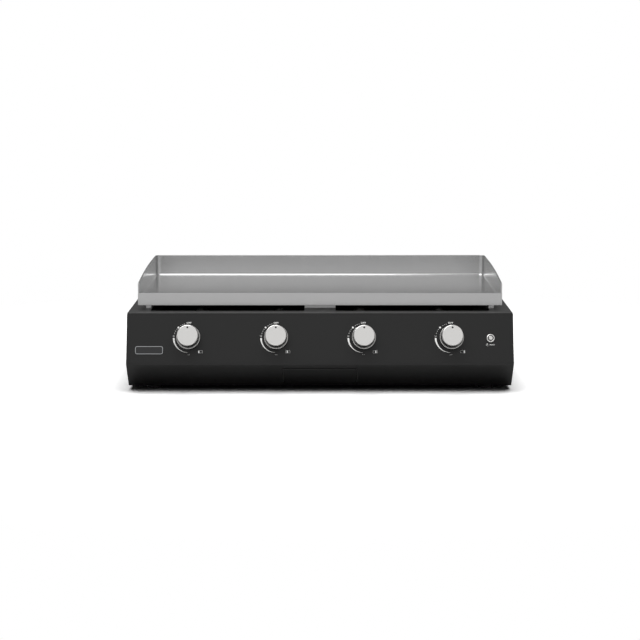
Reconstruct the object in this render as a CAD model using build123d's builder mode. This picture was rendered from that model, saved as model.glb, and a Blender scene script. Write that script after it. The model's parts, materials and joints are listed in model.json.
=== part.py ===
from build123d import *

import os
from math import hypot, sqrt

# Gas griddle for a patio counter, in millimetres.
# X runs to the right, Y to the back and Z up. The origin is on the ground, under the middle.

# Body: a leaning control face above an undercut, closed by a flat deck
BODY_WIDTH = 800.0
DECK_DEPTH = 470.0
BODY_CLEARANCE = 8.0
UNDERCUT_HEIGHT = 52.7
UNDERCUT_DEPTH = 44.3
FACE_HEIGHT = 101.6
FACE_LEAN = 34.6
SHEET = 1.5
FLANGE = 15.0
BEND_RADIUS = 3.0
CREASE_RADIUS = 7.0
DECK_CORNER = 4.0
DECK_EDGE = 0.8
SEAM = 0.2
BASE_LAP = 6.0

# Burner openings in the deck, and the boxes that hang below them
BRIDGE_WIDTH = 66.0
SIDE_STRIP = 45.0
FRONT_STRIP = 34.4
BACK_STRIP = 35.0
OPENING_CORNER = 6.0
BOX_DEPTH = 88.0
BOX_FLANGE = 8.0

# Griddle pan: a folded tray with a front apron, on four short feet
PAN_SIDE_INSET = 17.5
PAN_SETBACK = 52.0
PAN_BACK_INSET = 11.0
PAN_SHEET = 3.0
PAN_BEND = 3.0
PAN_CORNER = 9.0
APRON_HEIGHT = 26.2
APRON_GAP = 8.6
APRON_HEM = 12.0
FLOOR_DROP = 11.6
SIDE_RISE = 20.0
BACK_RISE = 33.9
RISE_LENGTH = 300.0
PAN_EDGE = 0.8
PAN_FOOT_WIDTH = 12.0
PAN_FOOT_INSET = 14.5
PAN_FOOT_SETBACK = 21.7
PAN_FOOT_EDGE = 1.5
PAN_REAR_FOOT_SETBACK = 20.0

# Grease path: hole in the pan, spout under it, slot in the bridge, chute to the drawer
SPOUT_WIDTH = 65.0
SPOUT_DEPTH = 27.0
SPOUT_WALL = 2.0
SPOUT_GAP = 0.5
NOZZLE_WIDTH = 35.0
NOZZLE_DEPTH = 16.0
NOZZLE_WALL = 1.5
NOZZLE_REACH = 12.0
GREASE_HOLE_WIDTH = 40.0
GREASE_HOLE_DEPTH = 16.0
SLOT_CLEARANCE = 3.0
CHUTE_WALL = 1.2
CHUTE_GAP = 0.5
CHUTE_CLEARANCE = 6.0

# Knobs, their valves and the gas line
KNOB_COUNT = 4
KNOB_END_INSET = 128.0
KNOB_DROP = 51.6
KNOB_STAND_OFF = 6.5
KNOB_PUSH = 3.5
FLANGE_DIAMETER = 50.0
FLANGE_THICKNESS = 2.6
FLANGE_ROUNDING = 0.8
GRIP_BASE_DIAMETER = 45.2
CAP_DIAMETER = 41.8
KNOB_HEIGHT = 33.0
KNOB_EDGE = 2.2
FLUTE_COUNT = 48
FLUTE_DIAMETER = 1.8
FLUTE_TOP_GAP = 4.0
KNOB_WALL = 3.0
CORE_CLEARANCE = 0.1
DIMPLE_DIAMETER = 3.6
DIMPLE_DEPTH = 0.8
DIMPLE_INSET = 4.9
HUB_DIAMETER = 15.0
HUB_WEB = 4.0
STEM_DIAMETER = 8.0
STEM_FLAT = 2.0
STEM_FIT = 0.05
STEM_HOLE = 13.0
STEM_OUTER_REACH = 24.0
STEM_INNER_REACH = 24.0
SEAT_DIAMETER = 15.0
SEAT_THICKNESS = 3.0
SEAT_DEPTH = 5.0
VALVE_WIDTH = 26.0
VALVE_HEIGHT = 30.0
VALVE_LENGTH = 34.0
VALVE_BORE = 16.0
VALVE_BORE_DEPTH = 16.0
VALVE_EAR_WIDTH = 42.0
VALVE_EAR_HEIGHT = 22.0
VALVE_EAR_THICKNESS = 2.5
OUTLET_DIAMETER = 13.0
OUTLET_REACH = 6.0
STUB_DIAMETER = 13.0
STUB_LENGTH = 8.0
INJECTOR_HEX = 10.0
INJECTOR_HEX_LENGTH = 5.0
INJECTOR_TIP = 6.0
INJECTOR_LENGTH = 11.0
JET_BORE = 1.2
MANIFOLD_DIAMETER = 16.0
MANIFOLD_WALL = 2.0
MANIFOLD_CAP = 4.0
MANIFOLD_BOSS = 4.0
MANIFOLD_DEPTH = 20.0
MANIFOLD_OVERHANG = 26.0
FEED_DIAMETER = 12.0
FEED_BORE = 8.0
FEED_BEND = 30.0
FEED_SIDE_GAP = 4.0
INLET_SHANK = 16.0
INLET_INNER_REACH = 14.0
INLET_HEX = 22.0
INLET_HEX_LENGTH = 7.0
INLET_THREAD = 13.16
INLET_THREAD_LENGTH = 15.0
INLET_BORE = 6.0
NUT_THICKNESS = 4.0

# Burners and electrodes
BURNER_DIAMETER = 30.0
BURNER_WALL = 1.5
BURNER_MOUTH = 8.0
BURNER_END_GAP = 22.0
BURNER_PIN = 8.0
BURNER_PIN_REACH = 6.0
PORT_LENGTH = 9.0
PORT_WIDTH = 1.6
PORT_PITCH = 15.0
PORT_SPREAD = 16.0
PORT_MARGIN = 24.0
PORT_ROWS = 2
ELECTRODE_OFFSET = 27.0
ELECTRODE_DIAMETER = 7.0
ELECTRODE_LENGTH = 40.0
ELECTRODE_TAIL = 8.0
ELECTRODE_COLLAR = 13.0
ELECTRODE_COLLAR_THICKNESS = 2.5
SPARK_WIRE = 2.0
SPARK_REACH = 10.0
SPARK_GAP = 4.0

# Igniter push button and its spark generator
IGNITER_INSET = 47.3
IGNITER_DROP = 52.5
IGNITER_BEZEL = 17.2
IGNITER_BEZEL_HEIGHT = 2.6
IGNITER_EDGE = 0.8
IGNITER_BARREL = 15.0
IGNITER_BARREL_LENGTH = 28.0
IGNITER_BORE = 11.6
BUTTON_DIAMETER = 10.0
BUTTON_PROUD = 1.6
BUTTON_LENGTH = 11.0
BUTTON_TRAVEL = 3.0
BUTTON_FLOOR_GAP = 1.0
NUT_HEX = 20.0
NUT_FIT = 0.05
GENERATOR_WIDTH = 28.0
GENERATOR_DEPTH = 62.0
GENERATOR_HEIGHT = 40.0
GENERATOR_BATTERY = 16.0
GENERATOR_CAP = 4.0
GENERATOR_EDGE = 2.0
GENERATOR_DROP = 58.0

# Badge plate, left bare
BADGE_INSET = 47.0
BADGE_DROP = 78.0
BADGE_WIDTH = 58.0
BADGE_HEIGHT = 17.4
BADGE_CORNER = 4.0
BADGE_THICKNESS = 0.8

# Grease drawer in the undercut
DRAWER_WIDTH = 152.4
DRAWER_TOP_DROP = 14.0
DRAWER_FRONT_LENGTH = 46.0
DRAWER_FRONT_SHEET = 2.0
DRAWER_LIP = 1.6
DRAWER_LIP_EDGE = 0.9
DRAWER_SIDE_GAP = 0.6
DRAWER_TOP_GAP = 0.6
DRAWER_BOTTOM_GAP = 1.0
TRAY_SHEET = 1.2
TRAY_LENGTH = 275.0
TRAY_RIM = 4.5
TRAY_RIM_INSET = 1.5
TRAY_DROP = 3.0
TRAY_SILL_GAP = 1.0
RUNNER_GAP = 0.3
RUNNER_SET_IN = 12.0
RUNNER_FOOT = 12.0

# Feet, screws and vents
FOOT_DIAMETER = 30.0
FOOT_TOP_DIAMETER = 26.0
FOOT_INSET_X = 52.0
FOOT_INSET_Y = 34.0
FOOT_RECESS = 12.0
FOOT_RECESS_DEPTH = 4.5
SCREW_DIAMETER = 4.0
SCREW_HEAD = 8.0
SCREW_HEAD_HEIGHT = 2.4
SCREW_LENGTH = 9.0
SCREW_CLEARANCE = 0.2
SCREW_RECESS = 3.0
SCREW_RECESS_DEPTH = 1.2
SCREW_INSET_Y = 45.0
SCREW_INSET_Z = 30.0
FOOT_SCREW_HEAD = 10.0
FOOT_SCREW_DIAMETER = 5.0
FOOT_SCREW_LENGTH = 12.0
VENT_LENGTH = 44.0
VENT_WIDTH = 5.0
VENT_PITCH = 60.0
BACK_VENT_ROW_PITCH = 14.0
BACK_VENT_COLUMNS = 10
BACK_VENT_ROWS = 3
BACK_VENT_Z = 118.0
BASE_VENT_COLUMNS = 4
BASE_VENT_ROWS = 6
BASE_VENT_ROW_PITCH = 30.0
BOX_VENT_COLUMNS = 4
BOX_VENT_ROWS = 5

# Places that follow from the sizes above
half_width = BODY_WIDTH / 2
inner_half = half_width - SHEET
crease_z = BODY_CLEARANCE + UNDERCUT_HEIGHT
deck_z = crease_z + FACE_HEIGHT
deck_under = deck_z - SHEET
base_under = BODY_CLEARANCE + SHEET
base_top = base_under + SHEET
face_length = hypot(FACE_LEAN, FACE_HEIGHT)
undercut_length = hypot(UNDERCUT_DEPTH, UNDERCUT_HEIGHT)
lean_sin = FACE_LEAN / face_length
lean_cos = FACE_HEIGHT / face_length
inlet_reach = INLET_HEX_LENGTH + INLET_THREAD_LENGTH
knob_reach = KNOB_DROP * lean_sin + KNOB_HEIGHT * lean_cos + CAP_DIAMETER / 2 * lean_sin
deck_front = (knob_reach - DECK_DEPTH - inlet_reach) / 2
deck_back = deck_front + DECK_DEPTH
deck_middle = (deck_front + deck_back) / 2
crease_y = deck_front - FACE_LEAN
toe_y = crease_y + UNDERCUT_DEPTH
face_top_y = deck_front - SHEET * FACE_LEAN / FACE_HEIGHT
opening_front = deck_front + FRONT_STRIP
opening_back = deck_back - BACK_STRIP
opening_depth = opening_back - opening_front
opening_y = (opening_front + opening_back) / 2
opening_width = half_width - SIDE_STRIP - BRIDGE_WIDTH / 2
opening_x = (BRIDGE_WIDTH + opening_width) / 2
box_bottom = deck_under - BOX_DEPTH
pan_front = deck_front + PAN_SETBACK
pan_back = deck_back - PAN_BACK_INSET
pan_half = half_width - PAN_SIDE_INSET
pan_inner_front = pan_front + PAN_SHEET
lip_z = deck_z + APRON_GAP + APRON_HEIGHT
pan_floor = lip_z - FLOOR_DROP
pan_under = pan_floor - PAN_SHEET
pan_top = lip_z + BACK_RISE
spout_y = pan_front + PAN_FOOT_SETBACK + SPOUT_DEPTH / 2
slot_width = NOZZLE_WIDTH + 2 * SLOT_CLEARANCE
slot_depth = NOZZLE_DEPTH + 2 * SLOT_CLEARANCE
knob_pitch = (BODY_WIDTH - 2 * KNOB_END_INSET) / (KNOB_COUNT - 1)
knob_xs = [(i - (KNOB_COUNT - 1) / 2) * knob_pitch for i in range(KNOB_COUNT)]
feed_x = inner_half - FLANGE - INLET_HEX / sqrt(3) - FEED_SIDE_GAP
igniter_x = half_width - IGNITER_INSET
badge_x = BADGE_INSET - half_width
drawer_cut_width = DRAWER_WIDTH + 2 * DRAWER_SIDE_GAP
drawer_cut_top = DRAWER_TOP_DROP - DRAWER_TOP_GAP
drawer_cut_length = DRAWER_FRONT_LENGTH + DRAWER_TOP_GAP + DRAWER_BOTTOM_GAP
hole_fit = SCREW_DIAMETER + 2 * SCREW_CLEARANCE

# The control face and the undercut, each with local Y up its slope and local Z outwards
face_plane = Plane(
    origin=(0, deck_front, deck_z),
    x_dir=(1, 0, 0),
    z_dir=(0, -lean_cos, lean_sin),
)
undercut_plane = Plane(
    origin=(0, crease_y, crease_z),
    x_dir=(1, 0, 0),
    z_dir=(0, -UNDERCUT_HEIGHT, -UNDERCUT_DEPTH),
)


def face_point(x, drop):
    """A plane on the control face, at x and a drop below the deck's edge."""
    origin = face_plane.from_local_coords(Vector(x, -drop, 0))
    return Plane(origin=origin, x_dir=face_plane.x_dir, z_dir=face_plane.z_dir)


def section_of(plane):
    """The plane that holds the axis of the given one, for a profile of radius and height."""
    return Plane(origin=plane.origin, x_dir=plane.x_dir, z_dir=plane.x_dir.cross(plane.z_dir))


def axis_of(plane):
    """The line that stands on the given plane at its origin."""
    return Axis(plane.origin, plane.z_dir)


# The gas line hangs from the valves, and the burners line up with the valves' outlets
valve_end = face_plane.from_local_coords(Vector(0, -KNOB_DROP, -SHEET - VALVE_LENGTH))
burner_z = valve_end.Z
outlet_y = valve_end.Y + OUTLET_REACH
burner_front = opening_front - SHEET - BURNER_MOUTH
burner_back = opening_back - BURNER_END_GAP
stub_drop = KNOB_DROP + VALVE_HEIGHT / 2 + STUB_LENGTH
manifold_drop = stub_drop + MANIFOLD_DIAMETER / 2 + MANIFOLD_BOSS
manifold_axis = face_plane.from_local_coords(Vector(0, -manifold_drop, -MANIFOLD_DEPTH))
manifold_left = knob_xs[0] - MANIFOLD_OVERHANG
manifold_right = knob_xs[-1] + MANIFOLD_OVERHANG

# Heights and depths of the grease drawer, which clears the sill of its cut-out in the undercut
tray_top = crease_z - (DRAWER_TOP_DROP * UNDERCUT_HEIGHT / undercut_length) - TRAY_DROP
cut_sill = crease_z - (drawer_cut_top + drawer_cut_length) * UNDERCUT_HEIGHT / undercut_length
tray_bottom = cut_sill + SHEET * UNDERCUT_DEPTH / undercut_length + TRAY_SILL_GAP
tray_half = DRAWER_WIDTH / 2 - TRAY_RIM - TRAY_RIM_INSET
front_step = DRAWER_FRONT_SHEET * undercut_length / UNDERCUT_HEIGHT
slope_run = UNDERCUT_DEPTH / UNDERCUT_HEIGHT
tray_front_top = crease_y + (crease_z - tray_top) * slope_run + front_step
tray_front_bottom = crease_y + (crease_z - tray_bottom) * slope_run + front_step
tray_back = tray_front_bottom + TRAY_LENGTH
rim_under = tray_top - TRAY_SHEET
runner_wall = DRAWER_WIDTH / 2
chute_half_width = (BRIDGE_WIDTH - 2 * BOX_FLANGE - 2 * SHEET) / 2 - CHUTE_GAP
chute_bottom = tray_top + CHUTE_CLEARANCE

os.makedirs("parts", exist_ok=True)


def save(piece, name):
    """Label a finished piece and write it to its own file."""
    piece.part.label = name
    export_step(piece.part, f"parts/{name}.step")


# Deck: one flat sheet with two burner openings and a grease slot in the bridge between them
with BuildPart() as top_deck:
    with BuildSketch(Plane.XY.offset(deck_under)):
        with Locations((0, deck_middle)):
            RectangleRounded(BODY_WIDTH, DECK_DEPTH, DECK_CORNER)
        with Locations((-opening_x, opening_y), (opening_x, opening_y)):
            RectangleRounded(opening_width, opening_depth, OPENING_CORNER, mode=Mode.SUBTRACT)
        with Locations((0, spout_y)):
            Rectangle(slot_width, slot_depth, mode=Mode.SUBTRACT)
    extrude(amount=SHEET)
    fillet(top_deck.faces().sort_by(Axis.Z)[-1].outer_wire().edges(), DECK_EDGE)
save(top_deck, "top_deck")

# Front panel: control face, undercut and foot flange bent from one sheet
panel_half = inner_half - SEAM
with BuildPart() as front_panel:
    with BuildSketch(Plane.YZ.offset(-panel_half)):
        with BuildLine():
            FilletPolyline(
                (face_top_y, deck_under),
                (crease_y, crease_z),
                (toe_y, BODY_CLEARANCE),
                (toe_y + FLANGE, BODY_CLEARANCE),
                radius=[CREASE_RADIUS, BEND_RADIUS],
            )
            offset(amount=SHEET, side=Side.LEFT)
        make_face()
    extrude(amount=2 * panel_half)
    with BuildSketch(face_plane):
        with Locations(*[(x, -KNOB_DROP) for x in knob_xs]):
            Circle(STEM_HOLE / 2)
        with Locations((igniter_x, -IGNITER_DROP)):
            Circle(IGNITER_BARREL / 2 + SCREW_CLEARANCE)
    extrude(amount=2 * SHEET, both=True, mode=Mode.SUBTRACT)
    with BuildSketch(undercut_plane):
        with Locations((0, -drawer_cut_top - drawer_cut_length / 2)):
            Rectangle(drawer_cut_width, drawer_cut_length)
    extrude(amount=2 * SHEET, both=True, mode=Mode.SUBTRACT)
save(front_panel, "front_panel")

# Side panels: the body's outline in sheet, with flanges under the deck, over the base and at the back
flange_x = inner_half - FLANGE / 2
side_screw_y = [toe_y + FLANGE + SCREW_INSET_Y, opening_y, deck_back - SCREW_INSET_Y]
back_screw_z = [BODY_CLEARANCE + SCREW_INSET_Z, (BODY_CLEARANCE + deck_z) / 2, deck_z - SCREW_INSET_Z]


def make_side_panel(side):
    with BuildPart() as panel:
        with BuildSketch(Plane.YZ.offset(side * half_width)):
            with BuildLine():
                FilletPolyline(
                    (face_top_y, deck_under),
                    (crease_y, crease_z),
                    (toe_y, BODY_CLEARANCE),
                    (deck_back, BODY_CLEARANCE),
                    (deck_back, deck_under),
                    (face_top_y, deck_under),
                    radius=[0, CREASE_RADIUS, BEND_RADIUS, 0, 0],
                )
            make_face()
        extrude(amount=-side * SHEET)
        flange_front = toe_y + FLANGE + SEAM
        flange_back = deck_back - SHEET
        with BuildSketch(Plane.XY.offset(BODY_CLEARANCE)):
            with Locations((side * flange_x, (flange_front + flange_back) / 2)):
                Rectangle(FLANGE, flange_back - flange_front)
            with Locations(*[(side * flange_x, y) for y in side_screw_y]):
                Circle(hole_fit / 2, mode=Mode.SUBTRACT)
        extrude(amount=SHEET)
        with BuildSketch(Plane.XY.offset(deck_under)):
            with Locations((side * flange_x, (flange_front + flange_back) / 2)):
                Rectangle(FLANGE, flange_back - flange_front)
        extrude(amount=-SHEET)
        with BuildSketch(Plane.XZ.offset(-flange_back)):
            with Locations((side * flange_x, (BODY_CLEARANCE + deck_under) / 2)):
                Rectangle(FLANGE, deck_under - BODY_CLEARANCE)
            with Locations(*[(side * flange_x, z) for z in back_screw_z]):
                Circle(hole_fit / 2, mode=Mode.SUBTRACT)
        extrude(amount=SHEET)
    return panel


save(make_side_panel(-1), "side_panel_left")
save(make_side_panel(1), "side_panel_right")

# Back panel: flat sheet with vent slots and the hole for the gas inlet
back_screws = [(side * flange_x, z) for side in (-1, 1) for z in back_screw_z]
with BuildPart() as back_panel:
    with BuildSketch(Plane.XZ.offset(-deck_back)):
        with Locations((0, (BODY_CLEARANCE + deck_under) / 2)):
            Rectangle(2 * panel_half, deck_under - BODY_CLEARANCE)
        with Locations((0, BACK_VENT_Z)):
            with GridLocations(VENT_PITCH, BACK_VENT_ROW_PITCH, BACK_VENT_COLUMNS, BACK_VENT_ROWS):
                SlotOverall(VENT_LENGTH, VENT_WIDTH, mode=Mode.SUBTRACT)
        with Locations((feed_x, manifold_axis.Z)):
            Circle(INLET_SHANK / 2 + SCREW_CLEARANCE, mode=Mode.SUBTRACT)
        with Locations(*back_screws):
            Circle(hole_fit / 2, mode=Mode.SUBTRACT)
    extrude(amount=SHEET)
save(back_panel, "back_panel")

# Base panel: lies on the flanges, with air vents below the burner boxes
base_front = toe_y + BASE_LAP
base_back = deck_back - 2 * SHEET - SEAM
foot_x = half_width - FOOT_INSET_X
foot_front_y = toe_y + FOOT_INSET_Y
foot_back_y = deck_back - FOOT_INSET_Y
foot_places = [(side * foot_x, y) for y in (foot_front_y, foot_back_y) for side in (-1, 1)]
side_screws = [(side * flange_x, y) for side in (-1, 1) for y in side_screw_y]
with BuildPart() as base_panel:
    with BuildSketch(Plane.XY.offset(base_under)):
        with Locations((0, (base_front + base_back) / 2)):
            Rectangle(2 * panel_half, base_back - base_front)
        with Locations((-opening_x, opening_y), (opening_x, opening_y)):
            with GridLocations(VENT_PITCH, BASE_VENT_ROW_PITCH, BASE_VENT_COLUMNS, BASE_VENT_ROWS):
                SlotOverall(VENT_LENGTH, VENT_WIDTH, mode=Mode.SUBTRACT)
        with Locations(*side_screws):
            Circle(hole_fit / 2, mode=Mode.SUBTRACT)
        with Locations(*foot_places):
            Circle(FOOT_SCREW_DIAMETER / 2 + SCREW_CLEARANCE, mode=Mode.SUBTRACT)
    extrude(amount=SHEET)
save(base_panel, "base_panel")


# Burner boxes: open trays hung from the deck, with holes for the burners, their pins and electrodes
def make_burner_box(side):
    box_x = side * opening_x
    burner_xs = [x for x in knob_xs if x * side > 0]
    with BuildPart() as box:
        with BuildSketch(Plane.XY.offset(box_bottom)):
            with Locations((box_x, opening_y)):
                RectangleRounded(
                    opening_width + 2 * SHEET, opening_depth + 2 * SHEET, OPENING_CORNER + SHEET
                )
        extrude(amount=BOX_DEPTH)
        with BuildSketch(Plane.XY.offset(deck_under)):
            with Locations((box_x, opening_y)):
                RectangleRounded(
                    opening_width + 2 * SHEET + 2 * BOX_FLANGE,
                    opening_depth + 2 * SHEET + 2 * BOX_FLANGE,
                    OPENING_CORNER + SHEET + BOX_FLANGE,
                )
        extrude(amount=-SHEET)
        with BuildSketch(Plane.XY.offset(deck_under)):
            with Locations((box_x, opening_y)):
                RectangleRounded(opening_width, opening_depth, OPENING_CORNER)
        extrude(amount=-(BOX_DEPTH - SHEET), mode=Mode.SUBTRACT)
        with BuildSketch(Plane.XZ.offset(-opening_front)):
            with Locations(*[(x, burner_z) for x in burner_xs]):
                Circle(BURNER_DIAMETER / 2 + SCREW_CLEARANCE)
            with Locations(*[(x + ELECTRODE_OFFSET, burner_z) for x in burner_xs]):
                Circle(ELECTRODE_DIAMETER / 2 + SCREW_CLEARANCE)
        extrude(amount=2 * SHEET, both=True, mode=Mode.SUBTRACT)
        with BuildSketch(Plane.XZ.offset(-opening_back)):
            with Locations(*[(x, burner_z) for x in burner_xs]):
                Circle(BURNER_PIN / 2 + SCREW_CLEARANCE)
        extrude(amount=2 * SHEET, both=True, mode=Mode.SUBTRACT)
        with BuildSketch(Plane.XY.offset(box_bottom)):
            with Locations((box_x, opening_y)):
                with GridLocations(VENT_PITCH, VENT_PITCH, BOX_VENT_COLUMNS, BOX_VENT_ROWS):
                    SlotOverall(VENT_LENGTH, VENT_WIDTH, rotation=90)
        extrude(amount=2 * SHEET, both=True, mode=Mode.SUBTRACT)
    return box


save(make_burner_box(-1), "burner_box_left")
save(make_burner_box(1), "burner_box_right")


# Burners: closed tubes with an open mouth at the valve, two rows of ports and a pin at the back
def make_burner(x):
    length = burner_back - burner_front
    port_count = int((burner_back - opening_front - 2 * PORT_MARGIN) / PORT_PITCH)
    port_y = (burner_back + opening_front) / 2
    pin_length = opening_back + SHEET + BURNER_PIN_REACH - burner_back
    with BuildPart() as burner:
        with BuildSketch(Plane.XZ.offset(-burner_front)):
            with Locations((x, burner_z)):
                Circle(BURNER_DIAMETER / 2)
        extrude(amount=-length)
        with BuildSketch(Plane.XZ.offset(-burner_front)):
            with Locations((x, burner_z)):
                Circle(BURNER_DIAMETER / 2 - BURNER_WALL)
        extrude(amount=-(length - BURNER_WALL), mode=Mode.SUBTRACT)
        fillet(burner.faces().sort_by(Axis.Y)[-1].edges(), BURNER_WALL)
        with BuildSketch(Plane.XZ.offset(-burner_back)):
            with Locations((x, burner_z)):
                Circle(BURNER_PIN / 2)
        extrude(amount=-pin_length)
        with BuildSketch(Plane.XY.offset(burner_z)):
            with Locations((x, port_y)):
                with GridLocations(PORT_SPREAD, PORT_PITCH, PORT_ROWS, port_count):
                    Rectangle(PORT_WIDTH, PORT_LENGTH)
        extrude(amount=BURNER_DIAMETER, mode=Mode.SUBTRACT)
    return burner


# Electrodes: a ceramic rod with a collar on the box's front wall, and a wire bent towards the ports
def make_electrode(x):
    rod_x = x + ELECTRODE_OFFSET
    wall_y = opening_front - SHEET
    rod_back = wall_y - ELECTRODE_TAIL
    rod_tip = rod_back + ELECTRODE_LENGTH
    wire_tip = rod_tip + SPARK_REACH
    spark_x = x + BURNER_DIAMETER / 2 + SPARK_GAP
    with BuildPart() as electrode:
        with BuildSketch(Plane.XZ.offset(-rod_back)):
            with Locations((rod_x, burner_z)):
                Circle(ELECTRODE_DIAMETER / 2)
        extrude(amount=-ELECTRODE_LENGTH)
        with BuildSketch(Plane.XZ.offset(-wall_y)):
            with Locations((rod_x, burner_z)):
                Circle(ELECTRODE_COLLAR / 2)
        extrude(amount=ELECTRODE_COLLAR_THICKNESS)
        with BuildSketch(Plane.XZ.offset(-rod_tip)):
            with Locations((rod_x, burner_z)):
                Circle(SPARK_WIRE / 2)
        extrude(amount=-SPARK_REACH)
        with BuildSketch(Plane.YZ.offset(rod_x + SPARK_WIRE / 2)):
            with Locations((wire_tip, burner_z)):
                Circle(SPARK_WIRE / 2)
        extrude(amount=spark_x - rod_x - SPARK_WIRE / 2)
    return electrode


# Gas valves: a block behind the face with ears, a spring bore, a stub to the manifold and an outlet
def make_valve(x):
    point = face_point(x, KNOB_DROP)
    inner_face = point.offset(-SHEET)
    stub_plane = Plane(
        origin=face_plane.from_local_coords(Vector(x, -stub_drop, -MANIFOLD_DEPTH)),
        x_dir=(1, 0, 0),
        z_dir=face_plane.y_dir,
    )
    with BuildPart() as valve:
        with BuildSketch(inner_face):
            RectangleRounded(VALVE_WIDTH, VALVE_HEIGHT, BEND_RADIUS)
        extrude(amount=-VALVE_LENGTH)
        with BuildSketch(inner_face):
            RectangleRounded(VALVE_EAR_WIDTH, VALVE_EAR_HEIGHT, BEND_RADIUS)
        extrude(amount=-VALVE_EAR_THICKNESS)
        with BuildSketch(stub_plane):
            Circle(STUB_DIAMETER / 2)
        extrude(amount=STUB_LENGTH + BEND_RADIUS)
        with BuildSketch(Plane.XZ.offset(-outlet_y)):
            with Locations((x, burner_z)):
                Circle(OUTLET_DIAMETER / 2)
        extrude(amount=OUTLET_REACH + OUTLET_DIAMETER)
        with BuildSketch(inner_face):
            Circle(VALVE_BORE / 2)
        extrude(amount=-VALVE_BORE_DEPTH, mode=Mode.SUBTRACT)
        with BuildSketch(inner_face):
            Circle(STEM_DIAMETER / 2 + STEM_FIT)
        extrude(amount=-(STEM_INNER_REACH + 2 * KNOB_PUSH), mode=Mode.SUBTRACT)
    return valve


# Valve stems: a round shaft with a flat where the knob's hub grips it
def make_stem(x):
    point = face_point(x, KNOB_DROP)
    with BuildPart() as stem:
        with BuildSketch(point.offset(-STEM_INNER_REACH)):
            Circle(STEM_DIAMETER / 2)
        extrude(amount=STEM_INNER_REACH + STEM_OUTER_REACH)
        with BuildSketch(point.offset(KNOB_STAND_OFF)):
            with Locations((0, STEM_DIAMETER / 2)):
                Rectangle(STEM_DIAMETER, 2 * STEM_FLAT)
        extrude(amount=STEM_OUTER_REACH, mode=Mode.SUBTRACT)
    return stem


# Spring seats: the collar in each valve's bore that goes in with the stem but doesn't turn
def make_spring_seat(x):
    with BuildPart() as seat:
        with BuildSketch(face_point(x, KNOB_DROP).offset(-SEAT_DEPTH)):
            Circle(SEAT_DIAMETER / 2)
            Circle(STEM_DIAMETER / 2 + STEM_FIT, mode=Mode.SUBTRACT)
        extrude(amount=-SEAT_THICKNESS)
    return seat


# Knob shells: a turned metal cup with a thin flange, a tapered grip and a pointer dimple
def make_knob(x):
    point = face_point(x, KNOB_DROP)
    flange_top = KNOB_STAND_OFF + FLANGE_THICKNESS
    core_radius = CAP_DIAMETER / 2 - KNOB_WALL
    with BuildPart() as knob:
        with BuildSketch(section_of(point)):
            with BuildLine():
                Polyline(
                    (core_radius, KNOB_STAND_OFF),
                    (FLANGE_DIAMETER / 2, KNOB_STAND_OFF),
                    (FLANGE_DIAMETER / 2, flange_top),
                    (GRIP_BASE_DIAMETER / 2, flange_top),
                    (CAP_DIAMETER / 2, KNOB_HEIGHT),
                    (0, KNOB_HEIGHT),
                    (0, KNOB_HEIGHT - KNOB_WALL),
                    (core_radius, KNOB_HEIGHT - KNOB_WALL),
                    close=True,
                )
            make_face()
        revolve(axis=axis_of(point))
        rims = knob.edges().filter_by(GeomType.CIRCLE)
        fillet(rims.sort_by(axis_of(point))[-1], KNOB_EDGE)
        rims = knob.edges().filter_by(GeomType.CIRCLE)
        fillet(rims.sort_by(SortBy.RADIUS)[-2:], FLANGE_ROUNDING)
        with BuildSketch(point.offset(flange_top)):
            with PolarLocations((CAP_DIAMETER + FLUTE_DIAMETER) / 2, FLUTE_COUNT):
                Circle(FLUTE_DIAMETER / 2)
        extrude(amount=KNOB_HEIGHT - FLUTE_TOP_GAP - flange_top, mode=Mode.SUBTRACT)
        with BuildSketch(point.offset(KNOB_HEIGHT)):
            with Locations((0, CAP_DIAMETER / 2 - DIMPLE_INSET)):
                Circle(DIMPLE_DIAMETER / 2)
        extrude(amount=-DIMPLE_DEPTH, mode=Mode.SUBTRACT)
    return knob


# Knob cores: a plastic hub on the stem's flat, with a disc against the inside of the cap
def make_knob_core(x):
    point = face_point(x, KNOB_DROP)
    core_top = KNOB_HEIGHT - KNOB_WALL
    with BuildPart() as core:
        with BuildSketch(point.offset(core_top)):
            Circle(CAP_DIAMETER / 2 - KNOB_WALL - CORE_CLEARANCE)
        extrude(amount=-HUB_WEB)
        with BuildSketch(point.offset(core_top)):
            Circle(HUB_DIAMETER / 2)
        extrude(amount=-(core_top - KNOB_STAND_OFF))
        with BuildSketch(point.offset(KNOB_STAND_OFF)):
            Circle(STEM_DIAMETER / 2 + STEM_FIT)
            with Locations((0, STEM_DIAMETER / 2)):
                Rectangle(STEM_DIAMETER, 2 * (STEM_FLAT - STEM_FIT), mode=Mode.SUBTRACT)
        extrude(amount=STEM_OUTER_REACH - KNOB_STAND_OFF, mode=Mode.SUBTRACT)
    return core


for number, x in enumerate(knob_xs, start=1):
    save(make_burner(x), f"burner_{number}")
    save(make_electrode(x), f"electrode_{number}")
    save(make_valve(x), f"gas_valve_{number}")
    save(make_stem(x), f"valve_stem_{number}")
    save(make_spring_seat(x), f"spring_seat_{number}")
    save(make_knob(x), f"knob_{number}")
    save(make_knob_core(x), f"knob_core_{number}")

# Injectors: one brass jet on each valve's outlet, pointing into a burner's mouth
with BuildPart() as gas_injectors:
    with BuildSketch(Plane.XZ.offset(-outlet_y)):
        with Locations(*[(x, burner_z) for x in knob_xs]):
            RegularPolygon(INJECTOR_HEX / 2, 6, major_radius=False)
            Circle(JET_BORE / 2, mode=Mode.SUBTRACT)
    extrude(amount=-INJECTOR_HEX_LENGTH)
    with BuildSketch(Plane.XZ.offset(-outlet_y - INJECTOR_HEX_LENGTH)):
        with Locations(*[(x, burner_z) for x in knob_xs]):
            Circle(INJECTOR_TIP / 2)
            Circle(JET_BORE / 2, mode=Mode.SUBTRACT)
    extrude(amount=-(INJECTOR_LENGTH - INJECTOR_HEX_LENGTH))
save(gas_injectors, "gas_injectors")

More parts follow.
